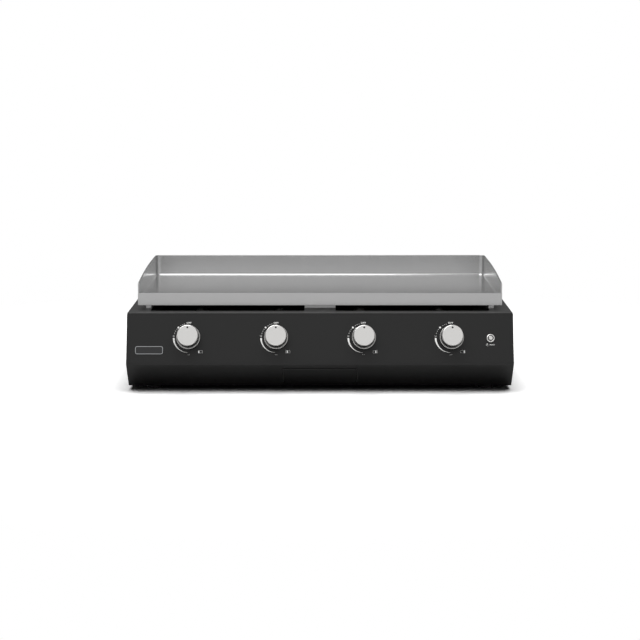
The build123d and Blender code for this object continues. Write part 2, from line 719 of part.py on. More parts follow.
# Manifold: a pipe behind the face with a flat boss under each valve, closed at both ends
with BuildPart() as gas_manifold:
    with BuildSketch(Plane.YZ.offset(manifold_left)):
        with Locations((manifold_axis.Y, manifold_axis.Z)):
            Circle(MANIFOLD_DIAMETER / 2)
    extrude(amount=manifold_right - manifold_left)
    for x in knob_xs:
        boss_plane = Plane(
            origin=(x, manifold_axis.Y, manifold_axis.Z),
            x_dir=(1, 0, 0),
            z_dir=face_plane.y_dir,
        )
        with BuildSketch(boss_plane):
            Circle(STUB_DIAMETER / 2)
        extrude(amount=manifold_drop - stub_drop)
    with BuildSketch(Plane.YZ.offset(manifold_left + MANIFOLD_CAP)):
        with Locations((manifold_axis.Y, manifold_axis.Z)):
            Circle(MANIFOLD_DIAMETER / 2 - MANIFOLD_WALL)
    extrude(amount=manifold_right - manifold_left - 2 * MANIFOLD_CAP, mode=Mode.SUBTRACT)
    with BuildSketch(Plane.YZ.offset(manifold_right)):
        with Locations((manifold_axis.Y, manifold_axis.Z)):
            Circle(FEED_BORE / 2)
    extrude(amount=-2 * MANIFOLD_CAP, mode=Mode.SUBTRACT)
save(gas_manifold, "gas_manifold")

# Feed pipe: from the manifold's end along the right side to the inlet at the back
inlet_inner = deck_back - SHEET - INLET_INNER_REACH
with BuildPart() as gas_feed_pipe:
    with BuildLine() as feed_path:
        FilletPolyline(
            (manifold_right, manifold_axis.Y, manifold_axis.Z),
            (feed_x, manifold_axis.Y, manifold_axis.Z),
            (feed_x, inlet_inner, manifold_axis.Z),
            radius=FEED_BEND,
        )
    with BuildSketch(Plane.YZ.offset(manifold_right)):
        with Locations((manifold_axis.Y, manifold_axis.Z)):
            Circle(FEED_DIAMETER / 2)
            Circle(FEED_BORE / 2, mode=Mode.SUBTRACT)
    sweep(path=feed_path.line)
save(gas_feed_pipe, "gas_feed_pipe")

# Gas inlet: a bulkhead fitting with a hexagon outside and a threaded end for the hose
inlet_plane = Plane(
    origin=(feed_x, deck_back, manifold_axis.Z), x_dir=(1, 0, 0), z_dir=(0, 1, 0)
)
with BuildPart() as gas_inlet:
    with BuildSketch(inlet_plane.offset(-SHEET - INLET_INNER_REACH)):
        Circle(INLET_SHANK / 2)
    extrude(amount=SHEET + INLET_INNER_REACH)
    with BuildSketch(inlet_plane):
        RegularPolygon(INLET_HEX / 2, 6, major_radius=False)
    extrude(amount=INLET_HEX_LENGTH)
    with BuildSketch(inlet_plane.offset(INLET_HEX_LENGTH)):
        Circle(INLET_THREAD / 2)
    extrude(amount=INLET_THREAD_LENGTH)
    with BuildSketch(inlet_plane.offset(-SHEET - INLET_INNER_REACH)):
        Circle(INLET_BORE / 2)
    extrude(amount=SHEET + INLET_INNER_REACH + inlet_reach, mode=Mode.SUBTRACT)
save(gas_inlet, "gas_inlet")

with BuildPart() as inlet_nut:
    with BuildSketch(inlet_plane.offset(-SHEET)):
        RegularPolygon(INLET_HEX / 2, 6, major_radius=False)
        Circle(INLET_SHANK / 2 + NUT_FIT, mode=Mode.SUBTRACT)
    extrude(amount=-NUT_THICKNESS)
save(inlet_nut, "inlet_nut")

# Igniter: a bezel and barrel through the face, its nut, its button and the spark generator
igniter_plane = face_point(igniter_x, IGNITER_DROP)
button_top = IGNITER_BEZEL_HEIGHT + BUTTON_PROUD
igniter_bore_depth = BUTTON_LENGTH - BUTTON_PROUD + BUTTON_TRAVEL + BUTTON_FLOOR_GAP
with BuildPart() as igniter_body:
    with BuildSketch(igniter_plane):
        Circle(IGNITER_BEZEL / 2)
    extrude(amount=IGNITER_BEZEL_HEIGHT)
    fillet(igniter_body.faces().sort_by(axis_of(igniter_plane))[-1].edges(), IGNITER_EDGE)
    with BuildSketch(igniter_plane):
        Circle(IGNITER_BARREL / 2)
    extrude(amount=-IGNITER_BARREL_LENGTH)
    with BuildSketch(igniter_plane.offset(IGNITER_BEZEL_HEIGHT)):
        Circle(IGNITER_BORE / 2)
    extrude(amount=-igniter_bore_depth, mode=Mode.SUBTRACT)
save(igniter_body, "igniter_body")

with BuildPart() as igniter_nut:
    with BuildSketch(igniter_plane.offset(-SHEET)):
        RegularPolygon(NUT_HEX / 2, 6, major_radius=False)
        Circle(IGNITER_BARREL / 2 + NUT_FIT, mode=Mode.SUBTRACT)
    extrude(amount=-NUT_THICKNESS)
save(igniter_nut, "igniter_nut")

with BuildPart() as igniter_button:
    with BuildSketch(igniter_plane.offset(button_top)):
        Circle(BUTTON_DIAMETER / 2)
    extrude(amount=-BUTTON_LENGTH)
    fillet(igniter_button.faces().sort_by(axis_of(igniter_plane))[-1].edges(), IGNITER_EDGE)
save(igniter_button, "igniter_button")

generator_top = deck_z - GENERATOR_DROP + GENERATOR_HEIGHT / 2
with BuildPart() as spark_generator:
    with BuildSketch(Plane.YZ.offset(inner_half)):
        with Locations((opening_front + GENERATOR_DEPTH / 2, generator_top - GENERATOR_HEIGHT / 2)):
            RectangleRounded(GENERATOR_DEPTH, GENERATOR_HEIGHT, BEND_RADIUS)
    extrude(amount=-GENERATOR_WIDTH)
    fillet(spark_generator.faces().sort_by(Axis.X)[0].edges(), GENERATOR_EDGE)
    with BuildSketch(Plane.XZ.offset(-opening_front)):
        with Locations((inner_half - GENERATOR_WIDTH / 2, generator_top - GENERATOR_HEIGHT / 2)):
            Circle(GENERATOR_BATTERY / 2)
    extrude(amount=GENERATOR_CAP)
save(spark_generator, "spark_generator")

# Badge plate: a bare rounded plate on the left of the face
with BuildPart() as badge_plate:
    with BuildSketch(face_point(badge_x, BADGE_DROP)):
        RectangleRounded(BADGE_WIDTH, BADGE_HEIGHT, BADGE_CORNER)
    extrude(amount=BADGE_THICKNESS)
save(badge_plate, "badge_plate")

# Pan: a tray folded from one sheet, with side walls that rise in an arc to the back wall
rise_step = BACK_RISE - SIDE_RISE
rise_mid = (pan_inner_front + RISE_LENGTH / 2, pan_top - rise_step / 4)
with BuildPart() as pan_hollow:
    with BuildSketch(Plane.XY.offset(pan_floor)):
        with Locations((0, (pan_front + pan_back - PAN_SHEET) / 2)):
            Rectangle(2 * (pan_half - PAN_SHEET), pan_back - PAN_SHEET - pan_front)
    extrude(amount=2 * (pan_top - pan_floor))
    fillet(pan_hollow.edges().filter_by(Axis.Z).sort_by(Axis.Y)[-2:], PAN_CORNER)
    fillet(pan_hollow.edges().group_by(Axis.Z)[0].sort_by(Axis.Y)[1:], PAN_BEND)

with BuildPart() as griddle_pan:
    with BuildSketch(Plane.YZ.offset(-pan_half)):
        with BuildLine():
            Polyline(
                (pan_inner_front, lip_z + SIDE_RISE),
                (pan_inner_front, pan_under),
                (pan_back, pan_under),
                (pan_back, pan_top),
                (pan_inner_front + RISE_LENGTH, pan_top),
            )
            ThreePointArc(
                (pan_inner_front + RISE_LENGTH, pan_top),
                rise_mid,
                (pan_inner_front, lip_z + SIDE_RISE),
            )
        make_face()
    extrude(amount=2 * pan_half)
    fillet(griddle_pan.edges().filter_by(Axis.Z).sort_by(Axis.Y)[-2:], PAN_CORNER + PAN_SHEET)
    fillet(griddle_pan.edges().group_by(Axis.Z)[0].sort_by(Axis.Y)[1:], PAN_BEND + PAN_SHEET)
    add(pan_hollow.part, mode=Mode.SUBTRACT)
    with BuildSketch(Plane.XY.offset(pan_under)):
        with Locations((0, spout_y)):
            SlotOverall(GREASE_HOLE_WIDTH, GREASE_HOLE_DEPTH)
    extrude(amount=PAN_SHEET, mode=Mode.SUBTRACT)
save(griddle_pan, "griddle_pan")

# Apron: the upright front lip, folded back below
with BuildPart() as front_apron:
    with BuildSketch(Plane.YZ.offset(-pan_half)):
        with BuildLine():
            Polyline(
                (pan_front, lip_z),
                (pan_front, lip_z - APRON_HEIGHT),
                (pan_front + APRON_HEM, lip_z - APRON_HEIGHT),
                (pan_front + APRON_HEM, lip_z - APRON_HEIGHT + PAN_SHEET),
                (pan_inner_front, lip_z - APRON_HEIGHT + PAN_SHEET),
                (pan_inner_front, lip_z),
                close=True,
            )
        make_face()
    extrude(amount=2 * pan_half)
    fillet(front_apron.faces().sort_by(Axis.Y)[0].edges(), PAN_EDGE)
save(front_apron, "front_apron")

# Pan feet: four short legs under the tray's corners
pan_foot_x = pan_half - PAN_FOOT_INSET - PAN_FOOT_WIDTH / 2
pan_foot_front = pan_front + PAN_FOOT_SETBACK + PAN_FOOT_WIDTH / 2
pan_foot_back = pan_back - PAN_REAR_FOOT_SETBACK - PAN_FOOT_WIDTH / 2
with BuildPart() as pan_feet:
    with BuildSketch(Plane.XY.offset(deck_z)):
        with Locations(
            *[(side * pan_foot_x, y) for side in (-1, 1) for y in (pan_foot_front, pan_foot_back)]
        ):
            RectangleRounded(PAN_FOOT_WIDTH, PAN_FOOT_WIDTH, PAN_FOOT_EDGE)
    extrude(amount=pan_under - deck_z)
save(pan_feet, "pan_feet")

# Grease spout: a duct under the grease hole, with a nozzle that reaches through the deck's slot
spout_bottom = deck_z + SPOUT_GAP
with BuildPart() as grease_spout:
    with BuildSketch(Plane.XY.offset(spout_bottom)):
        with Locations((0, spout_y)):
            Rectangle(SPOUT_WIDTH, SPOUT_DEPTH)
    extrude(amount=pan_under - spout_bottom)
    with BuildSketch(Plane.XY.offset(spout_bottom + SPOUT_WALL)):
        with Locations((0, spout_y)):
            Rectangle(SPOUT_WIDTH - 2 * SPOUT_WALL, SPOUT_DEPTH - 2 * SPOUT_WALL)
    extrude(amount=pan_under - spout_bottom, mode=Mode.SUBTRACT)
    with BuildSketch(Plane.XY.offset(spout_bottom)):
        with Locations((0, spout_y)):
            Rectangle(NOZZLE_WIDTH, NOZZLE_DEPTH)
    extrude(amount=-NOZZLE_REACH)
    with BuildSketch(Plane.XY.offset(spout_bottom - NOZZLE_REACH)):
        with Locations((0, spout_y)):
            Rectangle(NOZZLE_WIDTH - 2 * NOZZLE_WALL, NOZZLE_DEPTH - 2 * NOZZLE_WALL)
    extrude(amount=NOZZLE_REACH + SPOUT_WALL, mode=Mode.SUBTRACT)
save(grease_spout, "grease_spout")

# Grease chute: a square duct under the bridge, down to just above the drawer
with BuildPart() as grease_chute:
    with BuildSketch(Plane.XY.offset(deck_under)):
        with Locations((0, spout_y)):
            Rectangle(2 * chute_half_width, slot_depth + 2 * CHUTE_WALL)
            Rectangle(2 * chute_half_width - 2 * CHUTE_WALL, slot_depth, mode=Mode.SUBTRACT)
    extrude(amount=-(deck_under - chute_bottom))
save(grease_chute, "grease_chute")

# Grease tray: an open drawer with rims that run on ledges, and a slanted front like the undercut
with BuildPart() as grease_tray:
    with BuildSketch(Plane.YZ.offset(-tray_half)):
        with BuildLine():
            Polyline(
                (tray_front_top, tray_top),
                (tray_front_bottom, tray_bottom),
                (tray_back, tray_bottom),
                (tray_back, tray_top),
                close=True,
            )
        make_face()
    extrude(amount=2 * tray_half)
    offset(amount=-TRAY_SHEET, openings=grease_tray.faces().sort_by(Axis.Z)[-1])
    rim_front = tray_front_bottom + RUNNER_SET_IN
    with BuildSketch(Plane.XY.offset(tray_top)):
        with Locations(
            *[(side * (tray_half + TRAY_RIM / 2), (rim_front + tray_back) / 2) for side in (-1, 1)]
        ):
            Rectangle(TRAY_RIM, tray_back - rim_front)
    extrude(amount=-TRAY_SHEET)
save(grease_tray, "grease_tray")

# Drawer front: a plate flush with the undercut, with a rounded lip along its top
with BuildPart() as drawer_front:
    with BuildSketch(undercut_plane):
        with Locations((0, -DRAWER_TOP_DROP - DRAWER_FRONT_LENGTH / 2)):
            Rectangle(DRAWER_WIDTH, DRAWER_FRONT_LENGTH)
    extrude(amount=-DRAWER_FRONT_SHEET)
    with BuildSketch(undercut_plane):
        with Locations((0, -DRAWER_TOP_DROP - DRAWER_FRONT_SHEET / 2)):
            Rectangle(DRAWER_WIDTH, DRAWER_FRONT_SHEET)
    extrude(amount=DRAWER_LIP)
    lip_edges = drawer_front.edges().filter_by(Axis.X).sort_by(axis_of(undercut_plane))[-2:]
    fillet(lip_edges, DRAWER_LIP_EDGE)
save(drawer_front, "drawer_front")


# Drawer runners: a foot on the base, a wall beside the tray and a ledge under its rim
def make_runner(side):
    runner_front = tray_front_bottom + RUNNER_SET_IN
    runner_length = tray_back - runner_front
    runner_y = (runner_front + tray_back) / 2
    ledge_top = rim_under - RUNNER_GAP
    ledge_width = runner_wall - tray_half - RUNNER_GAP
    with BuildPart() as runner:
        with BuildSketch(Plane.XY.offset(base_top)):
            with Locations((side * (runner_wall + SHEET / 2), runner_y)):
                Rectangle(SHEET, runner_length)
        extrude(amount=tray_top - base_top)
        with BuildSketch(Plane.XY.offset(base_top)):
            with Locations((side * (runner_wall + RUNNER_FOOT / 2), runner_y)):
                Rectangle(RUNNER_FOOT, runner_length)
        extrude(amount=SHEET)
        with BuildSketch(Plane.XY.offset(ledge_top)):
            with Locations((side * (runner_wall - ledge_width / 2), runner_y)):
                Rectangle(ledge_width, runner_length)
        extrude(amount=-SHEET)
    return runner


save(make_runner(-1), "drawer_runner_left")
save(make_runner(1), "drawer_runner_right")

# Rubber feet under the base, each with a screw in its recess
with BuildPart() as rubber_feet:
    for place in foot_places:
        foot_plane = Plane(origin=(place[0], place[1], 0), x_dir=(1, 0, 0), z_dir=(0, 0, 1))
        with BuildSketch(foot_plane):
            Circle(FOOT_DIAMETER / 2)
        with BuildSketch(foot_plane.offset(base_under)):
            Circle(FOOT_TOP_DIAMETER / 2)
        loft()
    with BuildSketch(Plane.XY):
        with Locations(*foot_places):
            Circle(FOOT_RECESS / 2)
    extrude(amount=FOOT_RECESS_DEPTH, mode=Mode.SUBTRACT)
    with BuildSketch(Plane.XY):
        with Locations(*foot_places):
            Circle(FOOT_SCREW_DIAMETER / 2 + SCREW_CLEARANCE)
    extrude(amount=base_under, mode=Mode.SUBTRACT)
save(rubber_feet, "rubber_feet")

with BuildPart() as foot_screws:
    with BuildSketch(Plane.XY.offset(FOOT_RECESS_DEPTH)):
        with Locations(*foot_places):
            Circle(FOOT_SCREW_HEAD / 2)
    extrude(amount=-SCREW_HEAD_HEIGHT)
    with BuildSketch(Plane.XY.offset(FOOT_RECESS_DEPTH)):
        with Locations(*foot_places):
            Circle(FOOT_SCREW_DIAMETER / 2)
    extrude(amount=FOOT_SCREW_LENGTH)
save(foot_screws, "foot_screws")

# Panel screws: pan heads on the back and under the base's flanges
with BuildPart() as panel_screws:
    with BuildSketch(Plane.XZ.offset(-deck_back)):
        with Locations(*back_screws):
            Circle(SCREW_HEAD / 2)
    extrude(amount=-SCREW_HEAD_HEIGHT)
    with BuildSketch(Plane.XZ.offset(-deck_back)):
        with Locations(*back_screws):
            Circle(SCREW_DIAMETER / 2)
    extrude(amount=SCREW_LENGTH)
    with BuildSketch(Plane.XZ.offset(-deck_back - SCREW_HEAD_HEIGHT)):
        with Locations(*back_screws):
            RegularPolygon(SCREW_RECESS / 2, 6)
    extrude(amount=SCREW_RECESS_DEPTH, mode=Mode.SUBTRACT)
    with BuildSketch(Plane.XY.offset(BODY_CLEARANCE)):
        with Locations(*side_screws):
            Circle(SCREW_HEAD / 2)
    extrude(amount=-SCREW_HEAD_HEIGHT)
    with BuildSketch(Plane.XY.offset(BODY_CLEARANCE)):
        with Locations(*side_screws):
            Circle(SCREW_DIAMETER / 2)
    extrude(amount=SCREW_LENGTH)
save(panel_screws, "panel_screws")
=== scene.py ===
"""Looks of a countertop gas griddle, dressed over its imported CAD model.

The scene is in metres. The sizes of pieces are written in millimetres.
"""

import json
from math import atan2, cos, hypot, radians, sin, tau

import bmesh
import bpy
from bmesh.types import BMEdge, BMFace, BMVert
from bpy.props import FloatProperty, FloatVectorProperty, IntProperty, PointerProperty
from mathutils import Matrix, Vector


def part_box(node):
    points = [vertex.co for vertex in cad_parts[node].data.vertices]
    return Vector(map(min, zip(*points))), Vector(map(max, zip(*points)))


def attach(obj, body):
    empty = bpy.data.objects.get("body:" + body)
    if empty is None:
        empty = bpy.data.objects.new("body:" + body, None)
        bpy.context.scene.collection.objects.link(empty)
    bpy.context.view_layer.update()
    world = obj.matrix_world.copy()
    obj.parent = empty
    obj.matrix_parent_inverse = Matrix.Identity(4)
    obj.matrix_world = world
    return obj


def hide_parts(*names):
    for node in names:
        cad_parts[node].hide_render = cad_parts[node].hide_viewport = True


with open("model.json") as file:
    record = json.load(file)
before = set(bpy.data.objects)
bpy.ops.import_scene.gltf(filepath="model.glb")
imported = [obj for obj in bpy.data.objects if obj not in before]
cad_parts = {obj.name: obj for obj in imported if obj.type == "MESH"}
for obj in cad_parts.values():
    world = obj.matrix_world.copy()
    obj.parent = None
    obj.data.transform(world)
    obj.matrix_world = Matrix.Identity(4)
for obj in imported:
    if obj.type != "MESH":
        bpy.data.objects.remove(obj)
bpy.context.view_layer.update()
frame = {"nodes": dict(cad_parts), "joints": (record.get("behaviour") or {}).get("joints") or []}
NODES = frame["nodes"]
JOINTS = {joint["name"]: joint for joint in frame["joints"]}
KNOBS = [1, 2, 3, 4]
MM = 0.001
# Turns that point a shape's own Z to the back of the part, and to the ground
BACKWARD = Matrix.Rotation(radians(-90), 4, "X")
DOWNWARD = Matrix.Rotation(radians(180), 4, "X")

bl_info = {
    "name": "Gas griddle looks",
    "version": (1, 0, 0),
    "blender": (4, 5, 0),
    "location": "View3D > Sidebar > Griddle",
    "description": "Finishes, knobs, dial prints and a plain studio for a countertop gas griddle",
    "category": "Object",
}


def metres(sizes):
    """Sizes or a point given in millimetres, in metres."""
    return [size * MM for size in sizes]


def linear(hex_colour):
    """Scene-linear colour of an sRGB hex value."""
    shares = [int(hex_colour[i:i + 2], 16) / 255 for i in (0, 2, 4)]
    return tuple(s / 12.92 if s <= 0.04045 else ((s + 0.055) / 1.055) ** 2.4 for s in shares)


def length(name, description, millimetres):
    """A length property, given in millimetres."""
    return FloatProperty(name=name, description=description, default=millimetres * MM, unit="LENGTH")


def colour(name, description, hex_colour):
    """A colour property, given as an sRGB hex value."""
    return FloatVectorProperty(
        name=name, description=description, default=linear(hex_colour), subtype="COLOR", min=0, max=1
    )


class GriddleSizes(bpy.types.PropertyGroup):
    """Sizes of the dressed pieces."""

    sheet: length("Pan sheet", "Thickness of the pan's steel sheet", 3.0)
    bend: length("Pan bend", "Inner radius of the bends between the pan's floor and walls", 2.7)
    corner: length("Pan corner", "Inner radius of the pan's two upright back corners", 9.0)
    side_rise: length("Side rise", "Height of the side walls' front ends above the front lip", 20.0)
    rise_length: length("Rise length", "Length over which the side walls rise to full height", 300.0)
    hole_width: length("Grease hole width", "Overall width of the slot in the pan's floor", 40.0)
    hole_depth: length("Grease hole depth", "Overall depth of the slot in the pan's floor", 16.0)
    apron_bend: length("Apron bend", "Outer radius of the bend along the apron's bottom", 0.6)
    dial_radius: length("Dial radius", "Radius of the printed scale round a knob", 30.5)
    arc_width: length("Arc width", "Width of the flame arc at full flame", 3.5)
    letter_height: length("Letter height", "Height of the dial's capital letters", 3.3)
    ink: length("Ink thickness", "How far a print stands proud of the coating", 0.08)
    badge_line: length("Badge line", "Width of the raised line round the bare badge", 1.0)
    thread_pitch: length("Thread pitch", "Pitch of the gas inlet's thread", 1.34)
    flutes: IntProperty(name="Flutes", description="Number of grooves round a knob's grip", default=48)


class GriddleColours(bpy.types.PropertyGroup):
    """Base colours of the finishes."""

    coat: colour("Powder coat", "Black powder coat on the body", "161616")
    enamel: colour("Heat-proof black", "Matt black inside the burner boxes", "262626")
    steel: colour("Stainless steel", "Rolled stainless steel of the pan", "C8C8C8")
    # Lighter than the pan's steel as painted light, to brighten the legs and spout in the shade under the
    # pan; their blasted finish is rougher
    blasted: colour("Blasted steel", "Bead-blasted stainless legs and grease spout", "E4E4E4")
    knob: colour("Satin chrome", "Turned and satin-chromed knobs and push button", "E6E5E3")
    # Darkened as painted shade, so the grip reads as dark as the shade it shows under the cap
    grip: colour("Black chrome", "Black-chromed grip of the knobs", "4E4D4C")
    # Darkened as painted shade, so the burners stay as dim as the shade under the pan; the electrodes' wire
    # shares it
    tube: colour("Burner tube", "Stainless tube of the burners, dulled by the flame", "7A7672")
    zinc: colour("Zinc plate", "Zinc-plated steel of the drawer, chute and screws", "B4B6B8")
    brass: colour("Brass", "Machined brass of the valves and the gas inlet", "C9A765")
    ceramic: colour("Ceramic", "Glazed ceramic of the electrodes", "ECE8DE")
    # Also the black fill painted as shade in the knobs' flutes and grooves and in the igniter's groove
    nylon: colour("Black nylon", "Moulded black plastic", "1A1A1B")
    rubber: colour("Rubber", "Moulded rubber of the feet", "1B1B1B")
    print_ink: colour("Dial print", "White screen-print ink", "F4F4F2")


def add_node(tree, kind, inputs=(), **settings):
    """Add a node, set its fields, and fill its sockets with values or with other nodes' outputs."""
    node = tree.nodes.new(kind)
    for field, value in settings.items():
        setattr(node, field, value)
    for socket, value in dict(inputs).items():
        if isinstance(value, bpy.types.NodeSocket):
            tree.links.new(value, node.inputs[socket])
        else:
            node.inputs[socket].default_value = value
    return node


def start_material(name):
    """An empty node material, with the object coordinates that its patterns read."""
    made = bpy.data.materials.new(name)
    made.use_nodes = True
    made.node_tree.nodes.clear()
    place = add_node(made.node_tree, "ShaderNodeTexCoord").outputs["Object"]
    return made, made.node_tree, place


def toned(shade, share):
    """A colour made darker or lighter by a share, as a socket takes it."""
    return (*[min(1, part * share) for part in shade], 1)


def close_material(tree, base, gloss, low, high, bump, span=(0.3, 0.7), metallic=0.0, specular=0.5):
    """Finish a material with one Principled shader, whose roughness runs from low to high where the gloss
    pattern runs over its span."""
    rough = add_node(
        tree, "ShaderNodeMapRange",
        {"Value": gloss, "From Min": span[0], "From Max": span[1], "To Min": low, "To Max": high},
    )
    shader = add_node(
        tree, "ShaderNodeBsdfPrincipled",
        {
            "Base Color": base, "Metallic": metallic, "Roughness": rough.outputs["Result"],
            "Specular IOR Level": specular, "Normal": bump.outputs["Normal"],
        },
    )
    add_node(tree, "ShaderNodeOutputMaterial", {"Surface": shader.outputs["BSDF"]})


def powder_coat(name, shade, low, high, grain=1.2):
    """Black polyester powder coat, sprayed and baked: satin, with a fine leathery ripple that softens
    reflections, and a sheen that drifts a little from place to place. The real ripple is about 0.6 mm
    wide; it is drawn coarser so that it shows."""
    made, tree, place = start_material(name)
    ripple = add_node(tree, "ShaderNodeTexNoise", {"Vector": place, "Scale": 1 / (grain * MM), "Detail": 2.0})
    drift = add_node(tree, "ShaderNodeTexNoise", {"Vector": place, "Scale": 1 / (90 * MM), "Detail": 3.0})
    tone = add_node(
        tree, "ShaderNodeMix",
        {"Factor": ripple.outputs["Fac"], 6: toned(shade, 0.9), 7: toned(shade, 1.1)},
        data_type="RGBA",
    )
    bump = add_node(
        tree, "ShaderNodeBump", {"Height": ripple.outputs["Fac"], "Strength": 0.12, "Distance": 0.2 * MM}
    )
    close_material(tree, tone.outputs[2], drift.outputs["Fac"], low, high, bump, specular=0.34)
    return made


def brushed_metal(name, shade, low, high, line=0.4, run=30.0, strength=0.02):
    """Rolled and brushed sheet metal: fine lines along X that draw reflections out across them, over
    slow changes of gloss from the rolling. The real lines are about 0.1 mm wide; they are drawn
    coarser so that they show."""
    made, tree, place = start_material(name)
    along, across = 1 / (run * MM), 1 / (line * MM)
    stretch = add_node(tree, "ShaderNodeMapping", {"Vector": place, "Scale": (along, across, across)})
    lines = add_node(
        tree, "ShaderNodeTexNoise", {"Vector": stretch.outputs["Vector"], "Scale": 1.0, "Detail": 3.0}
    )
    drift = add_node(tree, "ShaderNodeTexNoise", {"Vector": place, "Scale": 1 / (120 * MM), "Detail": 2.0})
    both = add_node(
        tree, "ShaderNodeMath", {0: lines.outputs["Fac"], 1: drift.outputs["Fac"]}, operation="ADD"
    )
    bump = add_node(
        tree, "ShaderNodeBump", {"Height": lines.outputs["Fac"], "Strength": strength, "Distance": 0.05 * MM}
    )
    close_material(tree, toned(shade, 1), both.outputs["Value"], low, high, bump, (0.7, 1.3), metallic=1.0)
    return made


def turned_metal(name, shade, place_matrix, low, high, ring=0.35):
    """Zinc die casting, turned on a lathe and satin chromed: fine rings round its own axis that catch
    the light as a soft fan. The real rings are about 0.05 mm apart; they are drawn coarser so that
    they show."""
    made, tree, place = start_material(name)
    centred = add_node(
        tree, "ShaderNodeMapping",
        {"Vector": place, "Location": place_matrix.translation, "Rotation": place_matrix.to_euler()},
        vector_type="TEXTURE",
    )
    flat = add_node(
        tree, "ShaderNodeVectorMath", {0: centred.outputs["Vector"], 1: (1, 1, 0)}, operation="MULTIPLY"
    )
    reach = add_node(tree, "ShaderNodeVectorMath", {0: flat.outputs["Vector"]}, operation="LENGTH")
    rings = add_node(
        tree, "ShaderNodeTexNoise", {"W": reach.outputs["Value"], "Scale": 1 / (ring * MM), "Detail": 2.0},
        noise_dimensions="1D",
    )
    bump = add_node(
        tree, "ShaderNodeBump", {"Height": rings.outputs["Fac"], "Strength": 0.05, "Distance": 0.03 * MM}
    )
    close_material(tree, toned(shade, 1), rings.outputs["Fac"], low, high, bump, metallic=1.0)
    return made


def grained(name, shade, low, high, grain, metallic=0.0, strength=0.1):
    """A moulded, plated or glazed finish: a fine even grain in its height and gloss, and a slow drift
    in its tone."""
    made, tree, place = start_material(name)
    speck = add_node(tree, "ShaderNodeTexNoise", {"Vector": place, "Scale": 1 / (grain * MM), "Detail": 3.0})
    drift = add_node(tree, "ShaderNodeTexNoise", {"Vector": place, "Scale": 1 / (25 * MM), "Detail": 2.0})
    tone = add_node(
        tree, "ShaderNodeMix",
        {"Factor": drift.outputs["Fac"], 6: toned(shade, 0.88), 7: toned(shade, 1.1)},
        data_type="RGBA",
    )
    bump = add_node(
        tree, "ShaderNodeBump", {"Height": speck.outputs["Fac"], "Strength": strength, "Distance": 0.1 * MM}
    )
    close_material(tree, tone.outputs[2], speck.outputs["Fac"], low, high, bump, metallic=metallic)
    return made


def coat_nodes(material, *names):
    """Give CAD nodes their finish through their own material slots."""
    for name in names:
        for slot in NODES[name].material_slots:
            slot.material = material


def numbered(*stems):
    """The names of like CAD nodes, one for each burner."""
    return [f"{stem}_{number}" for stem in stems for number in KNOBS]


def face_frame(point):
    """A frame on the control face: X to the right, Y up the slope and Z out of the face."""
    out = Vector(JOINTS["knob_1_turn"]["axis"]).normalized()
    right = Vector((1, 0, 0))
    made = Matrix((right, out.cross(right), out)).transposed().to_4x4()
    made.translation = point
    return made


def face_under(node):
    """The frame on the control face under the middle of a CAD node."""
    low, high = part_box(node)
    middle = (low + high) / 2
    knob = JOINTS["knob_1_turn"]
    out = Vector(knob["axis"]).normalized()
    return face_frame(middle - out * (middle - Vector(knob["pos_m"])).dot(out))


def mesh_from(bm, name):
    """Turn a bmesh into a mesh, and free it."""
    mesh = bpy.data.meshes.new(name)
    bm.to_mesh(mesh)
    bm.free()
    return mesh


def put(bm, name, body, materials, place=Matrix.Identity(4), replaces=(), sharp=32):
    """Turn a finished bmesh into a piece in its place, riding on its body."""
    bmesh.ops.transform(bm, matrix=place, verts=bm.verts)
    mesh = mesh_from(bm, name)
    for material in materials:
        mesh.materials.append(material)
    mesh.shade_smooth()
    mesh.set_sharp_from_angle(angle=radians(sharp))
    piece = bpy.data.objects.new(name, mesh)
    bpy.context.scene.collection.objects.link(piece)
    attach(piece, body)
    if replaces:
        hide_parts(*replaces)
    return piece


def even_flats(piece):
    """Keep the flats between a piece's bends and rounded edges flat to the eye."""
    flats = piece.modifiers.new("flats", "WEIGHTED_NORMAL")
    flats.mode = "FACE_AREA"
    flats.keep_sharp = True


def fold(piece, sheet, edge=0.5 * MM):
    """Give a folded surface its sheet thickness behind it, break its cut edges and keep its flats flat."""
    wall = piece.modifiers.new("sheet", "SOLIDIFY")
    wall.thickness = sheet
    wall.offset = -1
    wall.use_even_offset = True
    broken = piece.modifiers.new("edges", "BEVEL")
    broken.width = edge
    broken.segments = 2
    broken.limit_method = "ANGLE"
    broken.angle_limit = radians(50)
    even_flats(piece)


def face_towards(bm, side):
    """Turn an open surface so that its faces look to the given side."""
    bmesh.ops.recalc_face_normals(bm, faces=bm.faces)
    if sum(face.normal.dot(side) * face.calc_area() for face in bm.faces) < 0:
        bmesh.ops.reverse_faces(bm, faces=bm.faces)


def turned(bm, profile, steps):
    """Spin a profile of (radius, height) points round Z into the bmesh, and return its new vertices."""
    line = [bm.verts.new((radius, 0, height)) for radius, height in profile]
    edges = [bm.edges.new(pair) for pair in zip(line, line[1:])]
    before = set(bm.verts) - set(line)
    bmesh.ops.spin(
        bm, geom=line + edges, cent=(0, 0, 0), axis=(0, 0, 1), angle=tau, steps=steps, use_merge=True
    )
    fresh = [v for v in bm.verts if v not in before]
    bmesh.ops.remove_doubles(bm, verts=fresh, dist=0.0001 * MM)
    return [v for v in bm.verts if v not in before]


def new_faces(bm, before):
    """The faces added to a bmesh since the given set was taken."""
    return [face for face in bm.faces if face not in before]


def only(geom, kind):
    """The vertices, edges or faces among what a bmesh operator returns."""
    return [item for item in geom if isinstance(item, kind)]


def round_over(bm, edges, radius, steps):
    """Round edges over to a radius."""
    bmesh.ops.bevel(
        bm, geom=edges, offset=radius, offset_type="OFFSET", affect="EDGES", segments=steps, profile=0.5,
        material=-1,
    )


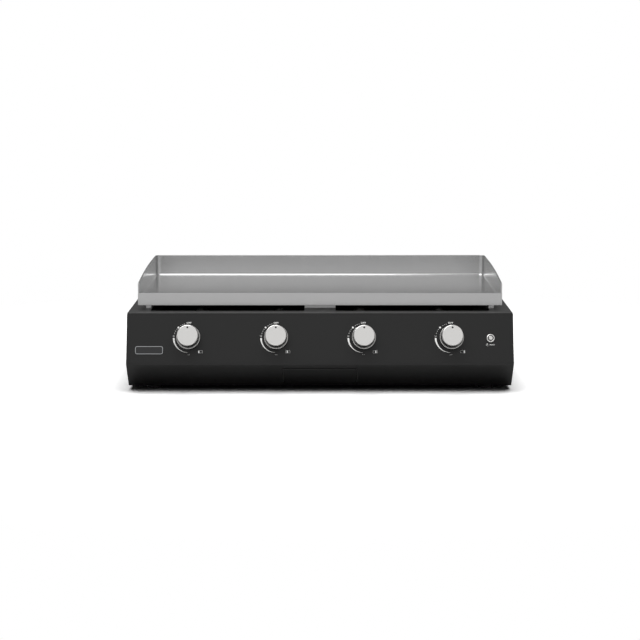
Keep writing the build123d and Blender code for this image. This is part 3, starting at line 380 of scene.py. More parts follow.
def sink(bm, reach, radius, depth, sides):
    """Close the open top of a turned shape round one hole with a flat floor, and return the hole's faces."""
    top = max(v.co.z for v in bm.verts)
    rim = [e for e in bm.edges if e.is_boundary and min(v.co.z for v in e.verts) > top - 0.01 * MM]
    ring = bmesh.ops.create_circle(bm, segments=sides, radius=radius)["verts"]
    bmesh.ops.translate(bm, vec=(0, reach, top), verts=ring)
    mouth = list({e for v in ring for e in v.link_edges})
    bmesh.ops.triangle_fill(bm, use_beauty=True, edges=rim + mouth, normal=(0, 0, 1))
    wall = bmesh.ops.extrude_edge_only(bm, edges=mouth)["geom"]
    bottom = only(wall, BMVert)
    bmesh.ops.translate(bm, vec=(0, 0, -depth), verts=bottom)
    deep = [e for e in bm.edges if all(v in bottom for v in e.verts)]
    floor = bmesh.ops.edgeloop_fill(bm, edges=deep)["faces"]
    return floor + only(wall, BMFace)


def extent(verts):
    """The lowest and the highest corner of some vertices."""
    return [Vector([pick(v.co[i] for v in verts) for i in range(3)]) for pick in (min, max)]


def solid_boxes(node):
    """The lowest and highest corner of each separate solid of a CAD node."""
    bm = bmesh.new()
    bm.from_mesh(NODES[node].data)
    bmesh.ops.transform(bm, matrix=NODES[node].matrix_world, verts=bm.verts)
    bmesh.ops.remove_doubles(bm, verts=bm.verts, dist=0.001 * MM)
    boxes = []
    left = set(bm.verts)
    while left:
        island = set()
        grown = {left.pop()}
        while grown:
            vert = grown.pop()
            island.add(vert)
            grown |= {edge.other_vert(vert) for edge in vert.link_edges} - island
        left -= island
        boxes.append(extent(island))
    bm.free()
    return sorted(boxes, key=lambda box: tuple(box[0]))


class GRIDDLE_OT_body(bpy.types.Operator):
    """Coat the sheet-steel body, and finish what hangs inside it"""

    bl_idname = "griddle.body"
    bl_label = "Coat the body"

    def execute(self, context):
        colours = context.scene.griddle_colours
        coat = powder_coat("black_powder_coat", colours.coat, 0.34, 0.4)
        coat_nodes(
            coat, "front_panel", "side_panel_left", "side_panel_right", "top_deck", "back_panel",
            "base_panel", "drawer_front",
        )
        black = grained("heat_proof_black", colours.enamel, 0.55, 0.7, 0.8, strength=0.2)
        coat_nodes(black, "burner_box_left", "burner_box_right")
        zinc = brushed_metal("zinc_plated_steel", colours.zinc, 0.3, 0.42, line=0.8, run=12.0)
        coat_nodes(
            zinc, "grease_chute", "grease_tray", "drawer_runner_left", "drawer_runner_right", "gas_manifold",
            "gas_feed_pipe", "igniter_nut",
        )
        brass = grained("machined_brass", colours.brass, 0.25, 0.35, 0.4, metallic=1.0, strength=0.05)
        coat_nodes(brass, *numbered("gas_valve", "valve_stem", "spring_seat"), "gas_injectors", "inlet_nut")
        nylon = grained("moulded_black_nylon", colours.nylon, 0.45, 0.6, 0.5)
        coat_nodes(nylon, *numbered("knob_core"), "spark_generator")
        coat_nodes(grained("moulded_rubber", colours.rubber, 0.65, 0.8, 0.6, strength=0.2), "rubber_feet")
        return {"FINISHED"}


# The electrode's ceramic from its tail to its tip: radius and distance along it
ELECTRODE_SECTION = [
    (0, 0), (3.1, 0), (3.5, 0.4), (6.5, 6.0), (6.5, 7.5), (6.0, 8.0), (3.5, 8.0), (3.5, 39.2), (2.8, 40.0),
    (0, 40.0),
]
# Its wire: radius, and radius of the bend
WIRE = (1.0, 3.0)


class GRIDDLE_OT_burners(bpy.types.Operator):
    """Finish the tube burners and their spark electrodes"""

    bl_idname = "griddle.burners"
    bl_label = "Finish the burners"

    def execute(self, context):
        colours = context.scene.griddle_colours
        # The tubes' darker colour is painted shade for the dim space under the pan; the wire below takes the
        # same colour
        tube = brushed_metal("shade_darkened_tube", colours.tube, 0.34, 0.46, line=0.8, run=0.8)
        coat_nodes(tube, *numbered("burner"))
        ceramic = grained("glazed_ceramic", colours.ceramic, 0.15, 0.25, 0.6, strength=0.03)
        wire = grained("scaled_wire", colours.tube, 0.4, 0.55, 0.3, metallic=1.0)
        for number in KNOBS:
            self.make_electrode(number, [ceramic, wire])
        return {"FINISHED"}

    def make_electrode(self, number, finishes):
        """Turn one ceramic rod with its collar, and bend its wire towards the burner's ports."""
        low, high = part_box(f"electrode_{number}")
        collar = ELECTRODE_SECTION[3][0] * MM
        wire, bend = metres(WIRE)
        start = ELECTRODE_SECTION[-2][1] * MM - bend
        far = high.y - wire - low.y
        bm = bmesh.new()
        turned(bm, [metres(point) for point in ELECTRODE_SECTION], 40)
        ceramic = set(bm.faces)
        ring = bmesh.ops.create_circle(
            bm, segments=16, radius=wire, matrix=Matrix.Translation((0, 0, start))
        )["verts"]
        mouth = list({e for v in ring for e in v.link_edges})
        rod = bmesh.ops.extrude_edge_only(bm, edges=mouth)["geom"]
        upper = only(rod, BMVert)
        bmesh.ops.translate(bm, vec=(0, 0, far - bend - start), verts=upper)
        rim = [e for e in bm.edges if all(v in upper for v in e.verts)]
        curve = bmesh.ops.spin(
            bm, geom=upper + rim, cent=(-bend, 0, far - bend), axis=(0, 1, 0), angle=-tau / 4, steps=8
        )["geom_last"]
        tip = bmesh.ops.extrude_edge_only(bm, edges=only(curve, BMEdge))["geom"]
        reach = high.x - collar - low.x - bend
        bmesh.ops.translate(bm, vec=(-reach, 0, 0), verts=only(tip, BMVert))
        bmesh.ops.edgeloop_fill(bm, edges=[e for e in bm.edges if e.is_boundary])
        for face in new_faces(bm, ceramic):
            face.material_index = 1
        bmesh.ops.recalc_face_normals(bm, faces=bm.faces)
        spot = Matrix.Translation((high.x - collar, low.y, (low.z + high.z) / 2))
        put(
            bm, f"spark_electrode_{number}", "housing", finishes, spot @ BACKWARD,
            replaces=[f"electrode_{number}"], sharp=40,
        )


class GRIDDLE_OT_pan(bpy.types.Operator):
    """Fold the stainless-steel pan and its apron from sheet"""

    bl_idname = "griddle.pan"
    bl_label = "Fold the pan"

    def execute(self, context):
        sizes = context.scene.griddle_sizes
        colours = context.scene.griddle_colours
        steel = brushed_metal("rolled_stainless_steel", colours.steel, 0.19, 0.23)
        # The blasted finish is rougher, and its lighter colour is painted light on the legs and spout in the
        # shade under the pan
        blasted = brushed_metal("blasted_steel_painted_light", colours.blasted, 0.3, 0.38, run=0.4)
        coat_nodes(blasted, "pan_feet", "grease_spout")
        self.fold_tray(sizes, steel)
        self.fold_apron(sizes, steel)
        return {"FINISHED"}

    def fold_tray(self, sizes, steel):
        """Fold the floor and three walls, and cut the grease hole."""
        low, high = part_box("griddle_pan")
        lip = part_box("front_apron")[1].z
        half = high.x - sizes.sheet
        front, back = low.y, high.y - sizes.sheet
        floor, top = low.z + sizes.sheet, high.z
        tiny = 0.01 * MM

        bm = bmesh.new()
        bmesh.ops.create_grid(bm, x_segments=1, y_segments=25, size=0.5)
        bmesh.ops.scale(bm, vec=(2 * half, back - front, 1), verts=bm.verts)
        bmesh.ops.translate(bm, vec=(0, (front + back) / 2, floor), verts=bm.verts)
        bends = [e for e in bm.edges if e.is_boundary and max(v.co.y for v in e.verts) > front + tiny]
        walls = bmesh.ops.extrude_edge_only(bm, edges=bends)["geom"]
        bmesh.ops.translate(bm, vec=(0, 0, top - floor), verts=only(walls, BMVert))
        corners = [
            e for e in bm.edges
            if min(v.co.y for v in e.verts) > back - tiny and abs(e.verts[0].co.z - e.verts[1].co.z) > tiny
            and abs(e.verts[0].co.x) > half - tiny
        ]
        round_over(bm, corners, sizes.corner, 10)
        bm.normal_update()
        bends = [
            e for e in bm.edges
            if len(e.link_faces) == 2 and max(v.co.z for v in e.verts) < floor + tiny
            and abs(e.link_faces[0].normal.z - e.link_faces[1].normal.z) > 0.5
        ]
        round_over(bm, bends, sizes.bend, 6)
        for vert in bm.verts:
            if vert.co.z > top - tiny:
                left = max(0, 1 - (vert.co.y - front) / sizes.rise_length)
                vert.co.z -= (top - lip - sizes.side_rise) * left ** 2

        bm.normal_update()
        flat = [f for f in bm.faces if max(v.co.z for v in f.verts) < floor + tiny]
        bmesh.ops.delete(bm, geom=flat, context="FACES")
        ends = [v for v in bm.verts if v.co.z < floor + tiny and v.co.y < front + tiny]
        rim = [e for e in bm.edges if max(v.co.z for v in e.verts) < floor + tiny]
        rim.append(bm.edges.new(ends))
        spout_low, spout_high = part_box("grease_spout")
        slot = bmesh.ops.create_circle(bm, segments=32, radius=sizes.hole_depth / 2)["verts"]
        for vert in slot:
            vert.co.x += (sizes.hole_width - sizes.hole_depth) / 2 * (1 if vert.co.x > 0 else -1)
        bmesh.ops.translate(bm, vec=(0, (spout_low.y + spout_high.y) / 2, floor), verts=slot)
        rim += {e for v in slot for e in v.link_edges}
        bmesh.ops.triangle_fill(bm, use_beauty=True, edges=rim, normal=(0, 0, 1))
        face_towards(bm, Vector((0, 0, 1)))
        pan = put(bm, "stainless_pan", "griddle", [steel], replaces=["griddle_pan"])
        fold(pan, sizes.sheet)

    def fold_apron(self, sizes, steel):
        """Fold the upright lip with its hem along the bottom."""
        low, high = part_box("front_apron")
        bm = bmesh.new()
        line = [bm.verts.new((low.x, y, z)) for y, z in ((low.y, high.z), (low.y, low.z), (high.y, low.z))]
        edges = [bm.edges.new(pair) for pair in zip(line, line[1:])]
        drawn = bmesh.ops.extrude_edge_only(bm, edges=edges)["geom"]
        bmesh.ops.translate(bm, vec=(high.x - low.x, 0, 0), verts=only(drawn, BMVert))
        crease = [e for e in bm.edges if len(e.link_faces) == 2]
        round_over(bm, crease, sizes.apron_bend, 6)
        face_towards(bm, Vector((0, -1, -1)))
        apron = put(
            bm, "stainless_apron", "griddle", [steel], replaces=["front_apron"]
        )
        fold(apron, sizes.sheet)


# The gas inlet before and after its thread: radius and distance out of the back panel
INLET_BEFORE = [(0, -15.5), (8.0, -15.5), (8.0, 0), (6.0, 0), (6.0, 7.5)]
INLET_AFTER = [(5.9, 21.4), (5.4, 22.0), (3.3, 22.0), (3.0, 21.7), (3.0, 4.0), (0, 4.0)]
# Its thread's start and end, and the radius of the crests and of the roots
THREAD = (7.7, 21.2, 6.55, 5.85)
# Its hexagon's width across flats, height and broken edge
INLET_HEXAGON = (22.0, 7.0, 0.6)
# A button-head screw: shares of its shank's radius and length, and of its head's radius and height
SHANK = [(0, -1), (0.8, -1), (1, -0.96), (1, 0)]
HEAD = [(1, 0), (1, 0.22), (0.95, 0.55), (0.8, 0.82), (0.6, 0.96), (0.48, 1)]
HEAD_HEIGHT = 2.4
# The radius of its hexagon socket as a share of the head's, and its depth as a share of the head's height
SOCKET = (0.38, 0.55)
# The radius of the shank of each kind of screw
SHANK_RADIUS = {"panel_screws": 2.0, "foot_screws": 2.5}


class GRIDDLE_OT_fittings(bpy.types.Operator):
    """Make the gas inlet with its thread, and the button-head screws"""

    bl_idname = "griddle.fittings"
    bl_label = "Make the fittings"

    def execute(self, context):
        colours = context.scene.griddle_colours
        self.turn_inlet(context.scene.griddle_sizes, colours)
        zinc = grained("bright_zinc_plate", colours.zinc, 0.25, 0.36, 0.3, metallic=1.0, strength=0.04)
        for node, radius in SHANK_RADIUS.items():
            self.drive_screws(node, zinc, radius * MM)
        return {"FINISHED"}

    def turn_inlet(self, sizes, colours):
        """Turn the threaded inlet, and set it in its hexagon."""
        brass = grained("turned_brass", colours.brass, 0.2, 0.3, 0.3, metallic=1.0, strength=0.04)
        start, end, crest, root = metres(THREAD)
        pitch = sizes.thread_pitch
        thread = []
        for tooth in range(int((end - start) / pitch)):
            foot = start + tooth * pitch
            thread += [(root, foot), (crest, foot + 0.4 * pitch), (crest, foot + 0.6 * pitch)]
        before, after = [[metres(point) for point in part] for part in (INLET_BEFORE, INLET_AFTER)]
        bm = bmesh.new()
        turned(bm, before + thread + after, 48)
        flats, height, edge = metres(INLET_HEXAGON)
        lathed = set(bm.faces)
        ring = bmesh.ops.create_circle(
            bm, cap_ends=True, segments=6, radius=flats / 2 / cos(radians(30)),
            matrix=Matrix.Rotation(radians(30), 4, "Z"),
        )["verts"]
        prism = bmesh.ops.extrude_face_region(bm, geom=list(ring[0].link_faces), use_keep_orig=True)["geom"]
        bmesh.ops.translate(bm, vec=(0, 0, height), verts=only(prism, BMVert))
        round_over(bm, list({e for f in new_faces(bm, lathed) for e in f.edges}), edge, 3)
        bmesh.ops.recalc_face_normals(bm, faces=bm.faces)
        low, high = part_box("gas_inlet")
        panel = high.y - INLET_AFTER[1][1] * MM
        spot = Matrix.Translation(((low.x + high.x) / 2, panel, (low.z + high.z) / 2))
        put(
            bm, "threaded_inlet", "housing", [brass], spot @ BACKWARD, replaces=["gas_inlet"],
            sharp=35,
        )

    def drive_screws(self, node, zinc, shank):
        """Set a button-head screw with a hexagon socket in the place of each of a node's solids."""
        head = HEAD_HEIGHT * MM
        bm = bmesh.new()
        for low, high in solid_boxes(node):
            size = high - low
            middle = (low + high) / 2
            radius = size.x / 2
            if size.y > size.z:
                place = Matrix.Translation((middle.x, high.y - head, middle.z)) @ BACKWARD
            else:
                place = Matrix.Translation((middle.x, middle.y, low.z + head)) @ DOWNWARD
            long = max(size) - head
            section = [(r * shank, z * long) for r, z in SHANK] + [(r * radius, z * head) for r, z in HEAD]
            screw = bmesh.new()
            turned(screw, section, 32)
            sink(screw, 0, SOCKET[0] * radius, SOCKET[1] * head, 6)
            bmesh.ops.recalc_face_normals(screw, faces=screw.faces)
            bmesh.ops.transform(screw, matrix=place, verts=screw.verts)
            mesh = mesh_from(screw, "screw")
            bm.from_mesh(mesh)
            bpy.data.meshes.remove(mesh)
        put(bm, f"button_head_{node}", "housing", [zinc], replaces=[node], sharp=35)


# The knob's section from inside its skirt to the edge of its flat cap: radius and height above the face
KNOB_SECTION = [
    (0, 30.0), (17.1, 30.0), (17.9, 29.2), (17.9, 6.5), (23.8, 6.5), (24.3, 6.6), (24.6, 6.95),
    (24.65, 7.5), (24.5, 7.95), (24.2, 8.1), (23.9, 8.0), (23.7, 7.4), (23.3, 7.4), (23.2, 8.6),
    (21.3, 29.6), (21.3, 31.15), (21.2, 31.75), (20.9, 32.25), (20.45, 32.55), (19.9, 32.65),
]
# The heights between which the grip is fluted, the radius that parts it from the inside of the shell, and
# the margin and depth of a flute
GRIP_BAND = (8.6, 29.6)
GRIP_INSIDE = 20.0
FLUTE = (0.22, 0.6)
# The height below which, and the radius inside which, the groove between bead and grip lies; it is filled
# with black as painted shade
BEAD_GROOVE = (7.9, 23.9)
# The pointer dimple's distance from the knob's axis, its radius and its depth
POINTER = (16.0, 2.0, 0.9)


class GRIDDLE_OT_knobs(bpy.types.Operator):
    """Turn the four metal knobs, each with a painted pointer dimple and a dark fluted grip whose darkness is
    painted shade
    """

    bl_idname = "griddle.knobs"
    bl_label = "Turn the knobs"

    def execute(self, context):
        colours = context.scene.griddle_colours
        # Black paint for the pointer dimple, which also fills the flutes and the groove at the grip's foot as
        # painted shade
        paint_and_shade = grained("pointer_paint_and_groove_shade", colours.nylon, 0.4, 0.5, 0.5)
        # Dark chrome for the grip's bars: partly a black chrome, partly painted shade standing in for the
        # shade the grip shows under its cap
        dark = grained("grip_chrome_painted_shade", colours.grip, 0.16, 0.24, 0.3, metallic=1.0, strength=0.02)
        for number in KNOBS:
            place = face_frame(Vector(JOINTS[f"knob_{number}_turn"]["pos_m"]))
            metal = turned_metal(f"satin_chrome_knob_{number}", colours.knob, place, 0.18, 0.26)
            bm = bmesh.new()
            self.turn_shell(bm, context.scene.griddle_sizes.flutes)
            reach, radius, depth = metres(POINTER)
            for face in sink(bm, reach, radius, depth, 28):
                face.material_index = 1
            bmesh.ops.recalc_face_normals(bm, faces=bm.faces)
            shell = put(
                bm, f"knob_shell_{number}", f"knob_turn_{number}", [metal, paint_and_shade, dark], place,
                replaces=[f"knob_{number}"], sharp=50,
            )
            even_flats(shell)
        return {"FINISHED"}

    def turn_shell(self, bm, flutes):
        """Turn the shell, and press a flute into every second face of its grip; the flutes and the groove at
        the grip's foot are filled with black as painted shade.
        """
        turned(bm, [metres(point) for point in KNOB_SECTION], 2 * flutes)
        grip = [
            f for f in bm.faces
            if all(GRIP_BAND[0] - 0.01 < v.co.z / MM < GRIP_BAND[1] + 0.01 for v in f.verts)
            and hypot(*f.calc_center_median()[:2]) > GRIP_INSIDE * MM
        ]
        grip.sort(key=lambda f: atan2(f.calc_center_median().y, f.calc_center_median().x))
        bmesh.ops.inset_individual(bm, faces=grip[::2], thickness=FLUTE[0] * MM, depth=-FLUTE[1] * MM)
        groove = [
            f for f in bm.faces
            if f.calc_center_median().z < BEAD_GROOVE[0] * MM
            and GRIP_INSIDE * MM < hypot(*f.calc_center_median()[:2]) < BEAD_GROOVE[1] * MM
            and f.normal.z > -0.5
        ]
        # Black fill in the flutes and the groove: painted shade in these recesses; the bars take the grip's
        # chrome
        for face in grip[::2] + groove:
            face.material_index = 1
        for face in grip[1::2]:
            face.material_index = 2


def add_outline(bm, curve, place, height):
    """Fill a flat curve or text, scale it to a height round its middle, and add it in its place."""
    holder = bpy.data.objects.new(curve.name, curve)
    bpy.context.scene.collection.objects.link(holder)
    mesh = bpy.data.meshes.new_from_object(holder.evaluated_get(bpy.context.evaluated_depsgraph_get()))
    bpy.data.objects.remove(holder)
    bpy.data.curves.remove(curve)
    before = set(bm.verts)
    bm.from_mesh(mesh)
    bpy.data.meshes.remove(mesh)
    fresh = [v for v in bm.verts if v not in before]
    low, high = extent(fresh)
    scale = height / (high.y - low.y)
    bmesh.ops.translate(bm, vec=-(low + high) / 2, verts=fresh)
    bmesh.ops.scale(bm, vec=(scale, scale, 1), verts=fresh)
    bmesh.ops.translate(bm, vec=(*place, 0), verts=fresh)
    return fresh


def add_letters(bm, words, place, height, spread=1.0):
    """Print a generic word round a place."""
    curve = bpy.data.curves.new("letters", "FONT")
    curve.body = words
    curve.space_character = 1.15
    curve.offset = 0.025
    fresh = add_outline(bm, curve, place, height)
    bmesh.ops.scale(
        bm, vec=(spread, 1, 1), verts=fresh, space=Matrix.Translation((-place[0], -place[1], 0))
    )


# A flame of height 1, from its foot round to the right
FLAME_OUTLINE = [(0, -0.5), (0.33, -0.12), (0.04, 0.5), (-0.33, -0.12)]


def add_flame(bm, place, height, hollow):
    """Print a small flame outline, hollowed by the given share."""
    curve = bpy.data.curves.new("flame", "CURVE")
    curve.dimensions = "2D"
    curve.fill_mode = "BOTH"
    for size in (1.0, hollow):
        spline = curve.splines.new("BEZIER")
        spline.use_cyclic_u = True
        spline.bezier_points.add(3)
        for point, spot in zip(spline.bezier_points, FLAME_OUTLINE):
            point.co = (spot[0] * size, spot[1] * size - 0.35 * (1 - size), 0)
            point.handle_left_type = point.handle_right_type = "AUTO"
        spline.bezier_points[2].handle_left_type = "VECTOR"
        spline.bezier_points[2].handle_right_type = "VECTOR"
    add_outline(bm, curve, place, height)


def add_bar(bm, place, size, turn=0.0):
    """Print one bar of a given width and height, turned about its middle."""
    matrix = Matrix.Translation((*place, 0)) @ Matrix.Rotation(turn, 4, "Z") @ Matrix.Diagonal((*size, 1, 1))
    bmesh.ops.create_grid(bm, x_segments=1, y_segments=1, size=0.5, matrix=matrix)


def add_box_line(bm, place, size, line):
    """Print the outline of a rectangle, drawn inwards from its size."""
    before = set(bm.faces)
    add_bar(bm, place, size)
    face = new_faces(bm, before)
    bmesh.ops.inset_region(bm, faces=face, thickness=line, use_even_offset=True, use_boundary=True)
    bmesh.ops.delete(bm, geom=face, context="FACES")


def lay_ink(bm, ink):
    """Give flat prints their thickness, from just inside the coating to the ink's own height."""
    bmesh.ops.translate(bm, vec=(0, 0, -ink / 2), verts=bm.verts)
    raised = bmesh.ops.extrude_face_region(bm, geom=bm.faces[:], use_keep_orig=True)["geom"]
    bmesh.ops.translate(bm, vec=(0, 0, 1.5 * ink), verts=only(raised, BMVert))
    bmesh.ops.recalc_face_normals(bm, faces=bm.faces)


# How far right of its knob's axis each printed dial sits, and how far below: the dials are printed a little
# closer together than the knobs
DIAL_SHIFTS = [0.15, -0.7, -1.55, -2.35]
DIAL_DROP = 0.7
# The dial's marks, by their distance right of and above its middle, or by their angle on it in degrees
OFF_SPOT = (0.65, 31.9)
DASH_ANGLES = (106, 114, 122, 143, 152, 161)
DASH_SIZE = (2.4, 0.5)
SPARK_ANGLE = 133.7
SPARK_RADIUS = 2.3
SPARK_WAIST = 0.7
# The flame arc's sweep in degrees, the share of its width that it loses, and how late it loses it
ARC_SWEEP = 88
ARC_LOSS = 0.92
ARC_DELAY = 1.2
# A pair of flames: its middle, half the space between the two, their height and how far they are hollowed
FULL_FLAMES = ((-30.5, 3.9), 1.1, 2.8, 0.7)
LOW_FLAMES = ((0.7, -35.1), 1.4, 2.2, 0.8)
# The box that shows the knob's burner: its middle, size and line
BURNER_BOX = ((25.0, -28.8), (9.2, 5.2), 0.23)
# The marks under the push button: place, height, and the flame's hollow or the word's spread
BUTTON_FLAME = ((-7.4, -13.9), 6.0, 0.8)
BUTTON_WORD = ((2.9, -13.9), 2.1, 1.4)


class GRIDDLE_OT_prints(bpy.types.Operator):
    """Print the dials round the knobs and the mark under the push button"""

    bl_idname = "griddle.prints"
    bl_label = "Print the dials"

    def execute(self, context):
        sizes = context.scene.griddle_sizes
        white = context.scene.griddle_colours.print_ink
        ink = grained("white_screen_print", white, 0.45, 0.6, 0.3, strength=0.05)
        for number in KNOBS:
            bm = bmesh.new()
            self.print_scale(bm, sizes)
            self.print_position(bm, number)
            lay_ink(bm, sizes.ink)
            place = face_frame(Vector(JOINTS[f"knob_{number}_turn"]["pos_m"]))
            shift = Matrix.Translation((DIAL_SHIFTS[number - 1] * MM, -DIAL_DROP * MM, 0))
            put(bm, f"dial_print_{number}", "housing", [ink], place @ shift)
        bm = bmesh.new()
        spot, height, hollow = BUTTON_FLAME
        add_flame(bm, metres(spot), height * MM, hollow)
        spot, height, spread = BUTTON_WORD
        add_letters(bm, "PUSH", metres(spot), height * MM, spread)
        lay_ink(bm, sizes.ink)
        put(bm, "igniter_print", "housing", [ink], face_under("igniter_button"))
        return {"FINISHED"}

    def print_scale(self, bm, sizes):
        """The off mark, the dashes, the spark mark, the tapering flame arc and the two flames."""
        reach = sizes.dial_radius
        add_letters(bm, "OFF", metres(OFF_SPOT), sizes.letter_height, 1.2)
        for degrees in DASH_ANGLES:
            at = radians(degrees)
            add_bar(bm, (reach * cos(at), reach * sin(at)), metres(DASH_SIZE), at + radians(90))
        self.print_spark(bm, reach, radians(SPARK_ANGLE))
        for side in (-1, 1):
            for middle, apart, height, hollow in (FULL_FLAMES, LOW_FLAMES):
                add_flame(bm, metres((middle[0] + apart * side, middle[1])), height * MM, hollow)
        ends = [bm.verts.new((-reach - side * sizes.arc_width / 2, 0, 0)) for side in (1, -1)]
        edge = bm.edges.new(ends)
        before = set(bm.verts) - set(ends)
        sweep = radians(ARC_SWEEP)
        bmesh.ops.spin(bm, geom=[*ends, edge], cent=(0, 0, 0), axis=(0, 0, 1), angle=sweep, steps=40)
        for vert in [v for v in bm.verts if v not in before]:
            share = atan2(-vert.co.y, -vert.co.x) / sweep
            middle = vert.co.normalized() * reach
            vert.co = middle + (vert.co - middle) * (1 - ARC_LOSS * share ** ARC_DELAY)

    def print_spark(self, bm, reach, at):
        """A small eight-pointed spark on the scale."""
        star = bmesh.ops.create_circle(bm, cap_ends=True, segments=16, radius=SPARK_RADIUS * MM)["verts"]
        for vert in star[::2]:
            vert.co *= SPARK_WAIST
        bmesh.ops.translate(bm, vec=(reach * cos(at), reach * sin(at), 0), verts=star)

    def print_position(self, bm, number):
        """A box, with the quarter that stands for this knob's burner filled."""
        (x, y), (width, height) = metres(BURNER_BOX[0]), metres(BURNER_BOX[1])
        line = BURNER_BOX[2] * MM
        add_box_line(bm, (x, y), (width, height), line)
        part = width / len(KNOBS)
        inside = height - 2 * line - 0.1 * MM
        spot = (x + (number - (len(KNOBS) + 1) / 2) * (part - line / 3), y)
        add_bar(bm, spot, (part - 2 * line / 3, inside))


# The igniter's bezel with its barrel, and its button: radius and height above the face
BEZEL_SECTION = [
    (0, -10.8), (5.8, -10.8), (5.8, 1.2), (6.2, 2.2), (6.6, 2.52), (7.1, 2.6), (7.7, 2.45), (8.2, 2.0),
    (8.5, 1.4), (8.6, 0.7), (8.6, 0.0), (7.5, 0.0), (7.5, -28.0), (0, -28.0),
]
BUTTON_SECTION = [
    (0, 3.8), (1.4, 3.84), (2.4, 3.96), (3.0, 4.14), (3.4, 4.2), (3.8, 4.1), (4.1, 3.8), (4.25, 3.2),
    (4.3, 1.0), (5.0, 0.6), (5.0, -6.8), (0, -6.8),
]
# The radius inside which both are painted black as shade in the groove between them, and the height of each
# below which it is
SHADE_INSIDE = 6.21
BEZEL_SHADE_BELOW = 2.21
BUTTON_SHADE_BELOW = 1.01


class GRIDDLE_OT_igniter(bpy.types.Operator):
    """Turn the push igniter's rounded bezel and its dished button, with the bezel's bore and the button's
    skirt painted black as shade in the groove between them
    """

    bl_idname = "griddle.igniter"
    bl_label = "Turn the igniter"

    def execute(self, context):
        colours = context.scene.griddle_colours
        place = face_under("igniter_button")
        metal = turned_metal("satin_chrome_button", colours.knob, place, 0.2, 0.28)
        # Black lining painted as shade in the groove between bezel and button
        groove_shade = grained("bore_painted_shade", colours.nylon, 0.5, 0.6, 0.5)
        pieces = [
            ("igniter_bezel", "housing", BEZEL_SECTION, BEZEL_SHADE_BELOW, "igniter_body"),
            ("igniter_cap", "igniter_push", BUTTON_SECTION, BUTTON_SHADE_BELOW, "igniter_button"),
        ]
        for name, body, section, level, node in pieces:
            bm = bmesh.new()
            turned(bm, [metres(point) for point in section], 64)
            bmesh.ops.recalc_face_normals(bm, faces=bm.faces)
            # Faces inside the groove are painted black as shade
            for face in bm.faces:
                middle = face.calc_center_median()
                if hypot(middle.x, middle.y) < SHADE_INSIDE * MM and middle.z < level * MM:
                    face.material_index = 1
            put(bm, name, body, [metal, groove_shade], place, replaces=[node], sharp=40)
        return {"FINISHED"}


# The badge plate's thickness, the margin outside its raised line, and that line's corners and height
BADGE_THICKNESS = 0.8
BADGE_MARGIN = 0.5
BADGE_CORNER = 4.0
BADGE_RELIEF = 0.3


class GRIDDLE_OT_badge(bpy.types.Operator):
    """Finish the bare badge with its raised line"""

    bl_idname = "griddle.badge"
    bl_label = "Finish the badge"

    def execute(self, context):
        colours = context.scene.griddle_colours
        coat_nodes(grained("badge_black", colours.nylon, 0.3, 0.4, 0.5), "badge_plate")
        nickel = grained("satin_nickel_line", colours.zinc, 0.3, 0.4, 0.4, metallic=1.0, strength=0.03)
        low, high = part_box("badge_plate")
        place = face_under("badge_plate")
        up, out = place.to_3x3().col[1], place.to_3x3().col[2]
        height = (high.z - low.z - BADGE_THICKNESS * MM * out.z) / up.z
        edge = 2 * BADGE_MARGIN * MM
        bm = bmesh.new()
        add_bar(bm, (0, 0), (high.x - low.x - edge, height - edge))
        bmesh.ops.bevel(
            bm, geom=bm.verts[:], offset=BADGE_CORNER * MM, offset_type="OFFSET", affect="VERTICES",
            segments=8, profile=0.5, material=-1,
        )
        inner = bm.faces[:]
        line = context.scene.griddle_sizes.badge_line
        bmesh.ops.inset_region(bm, faces=inner, thickness=line, use_even_offset=True, use_boundary=True)
        bmesh.ops.delete(bm, geom=inner, context="FACES")
        lay_ink(bm, BADGE_RELIEF * MM)
        bmesh.ops.translate(bm, vec=(0, 0, BADGE_THICKNESS * MM), verts=bm.verts)
        put(bm, "badge_line", "housing", [nickel], place)
        return {"FINISHED"}


# The camera, solved from the photograph's vanishing lines: lens and frame in millimetres, place, degrees down
CAMERA_LENS = 97.26
CAMERA_FRAME = 36
CAMERA_PLACE = (0, -3.7637, 0.6891)
CAMERA_TILT = 8.68
# The floor's shade to scattered, mirrored and camera rays, and the reach over which it thins out
FLOOR_SCATTERED = 0.4
FLOOR_MIRRORED = 0.75
FLOOR_SEEN = 1.2
FLOOR_EDGE = (0.55, 1.4)
# The room as metal mirrors it, ahead of the part and behind it: the heights between which it brightens, and
# its strength below and above them
ROOM_AHEAD = (-0.15, 0.1, 0.64, 0.8)
ROOM_BEHIND = (0.25, 0.6, 0.21, 0.55)
# How far to the front and to the back the two blend
BLEND = 0.6
# The room's light on surfaces that don't mirror it
ROOM_FILL = 0.02
# The softboxes: width and depth, watts, and place
SOFTBOXES = {
    "left_softbox": ((2.6, 2.0), 46, (-0.65, -0.05, 2.1)),
    "right_softbox": ((2.6, 2.0), 46, (0.65, -0.05, 2.1)),
    "front_softbox": ((2.4, 1.0), 30, (0, -2.2, 1.7)),
}


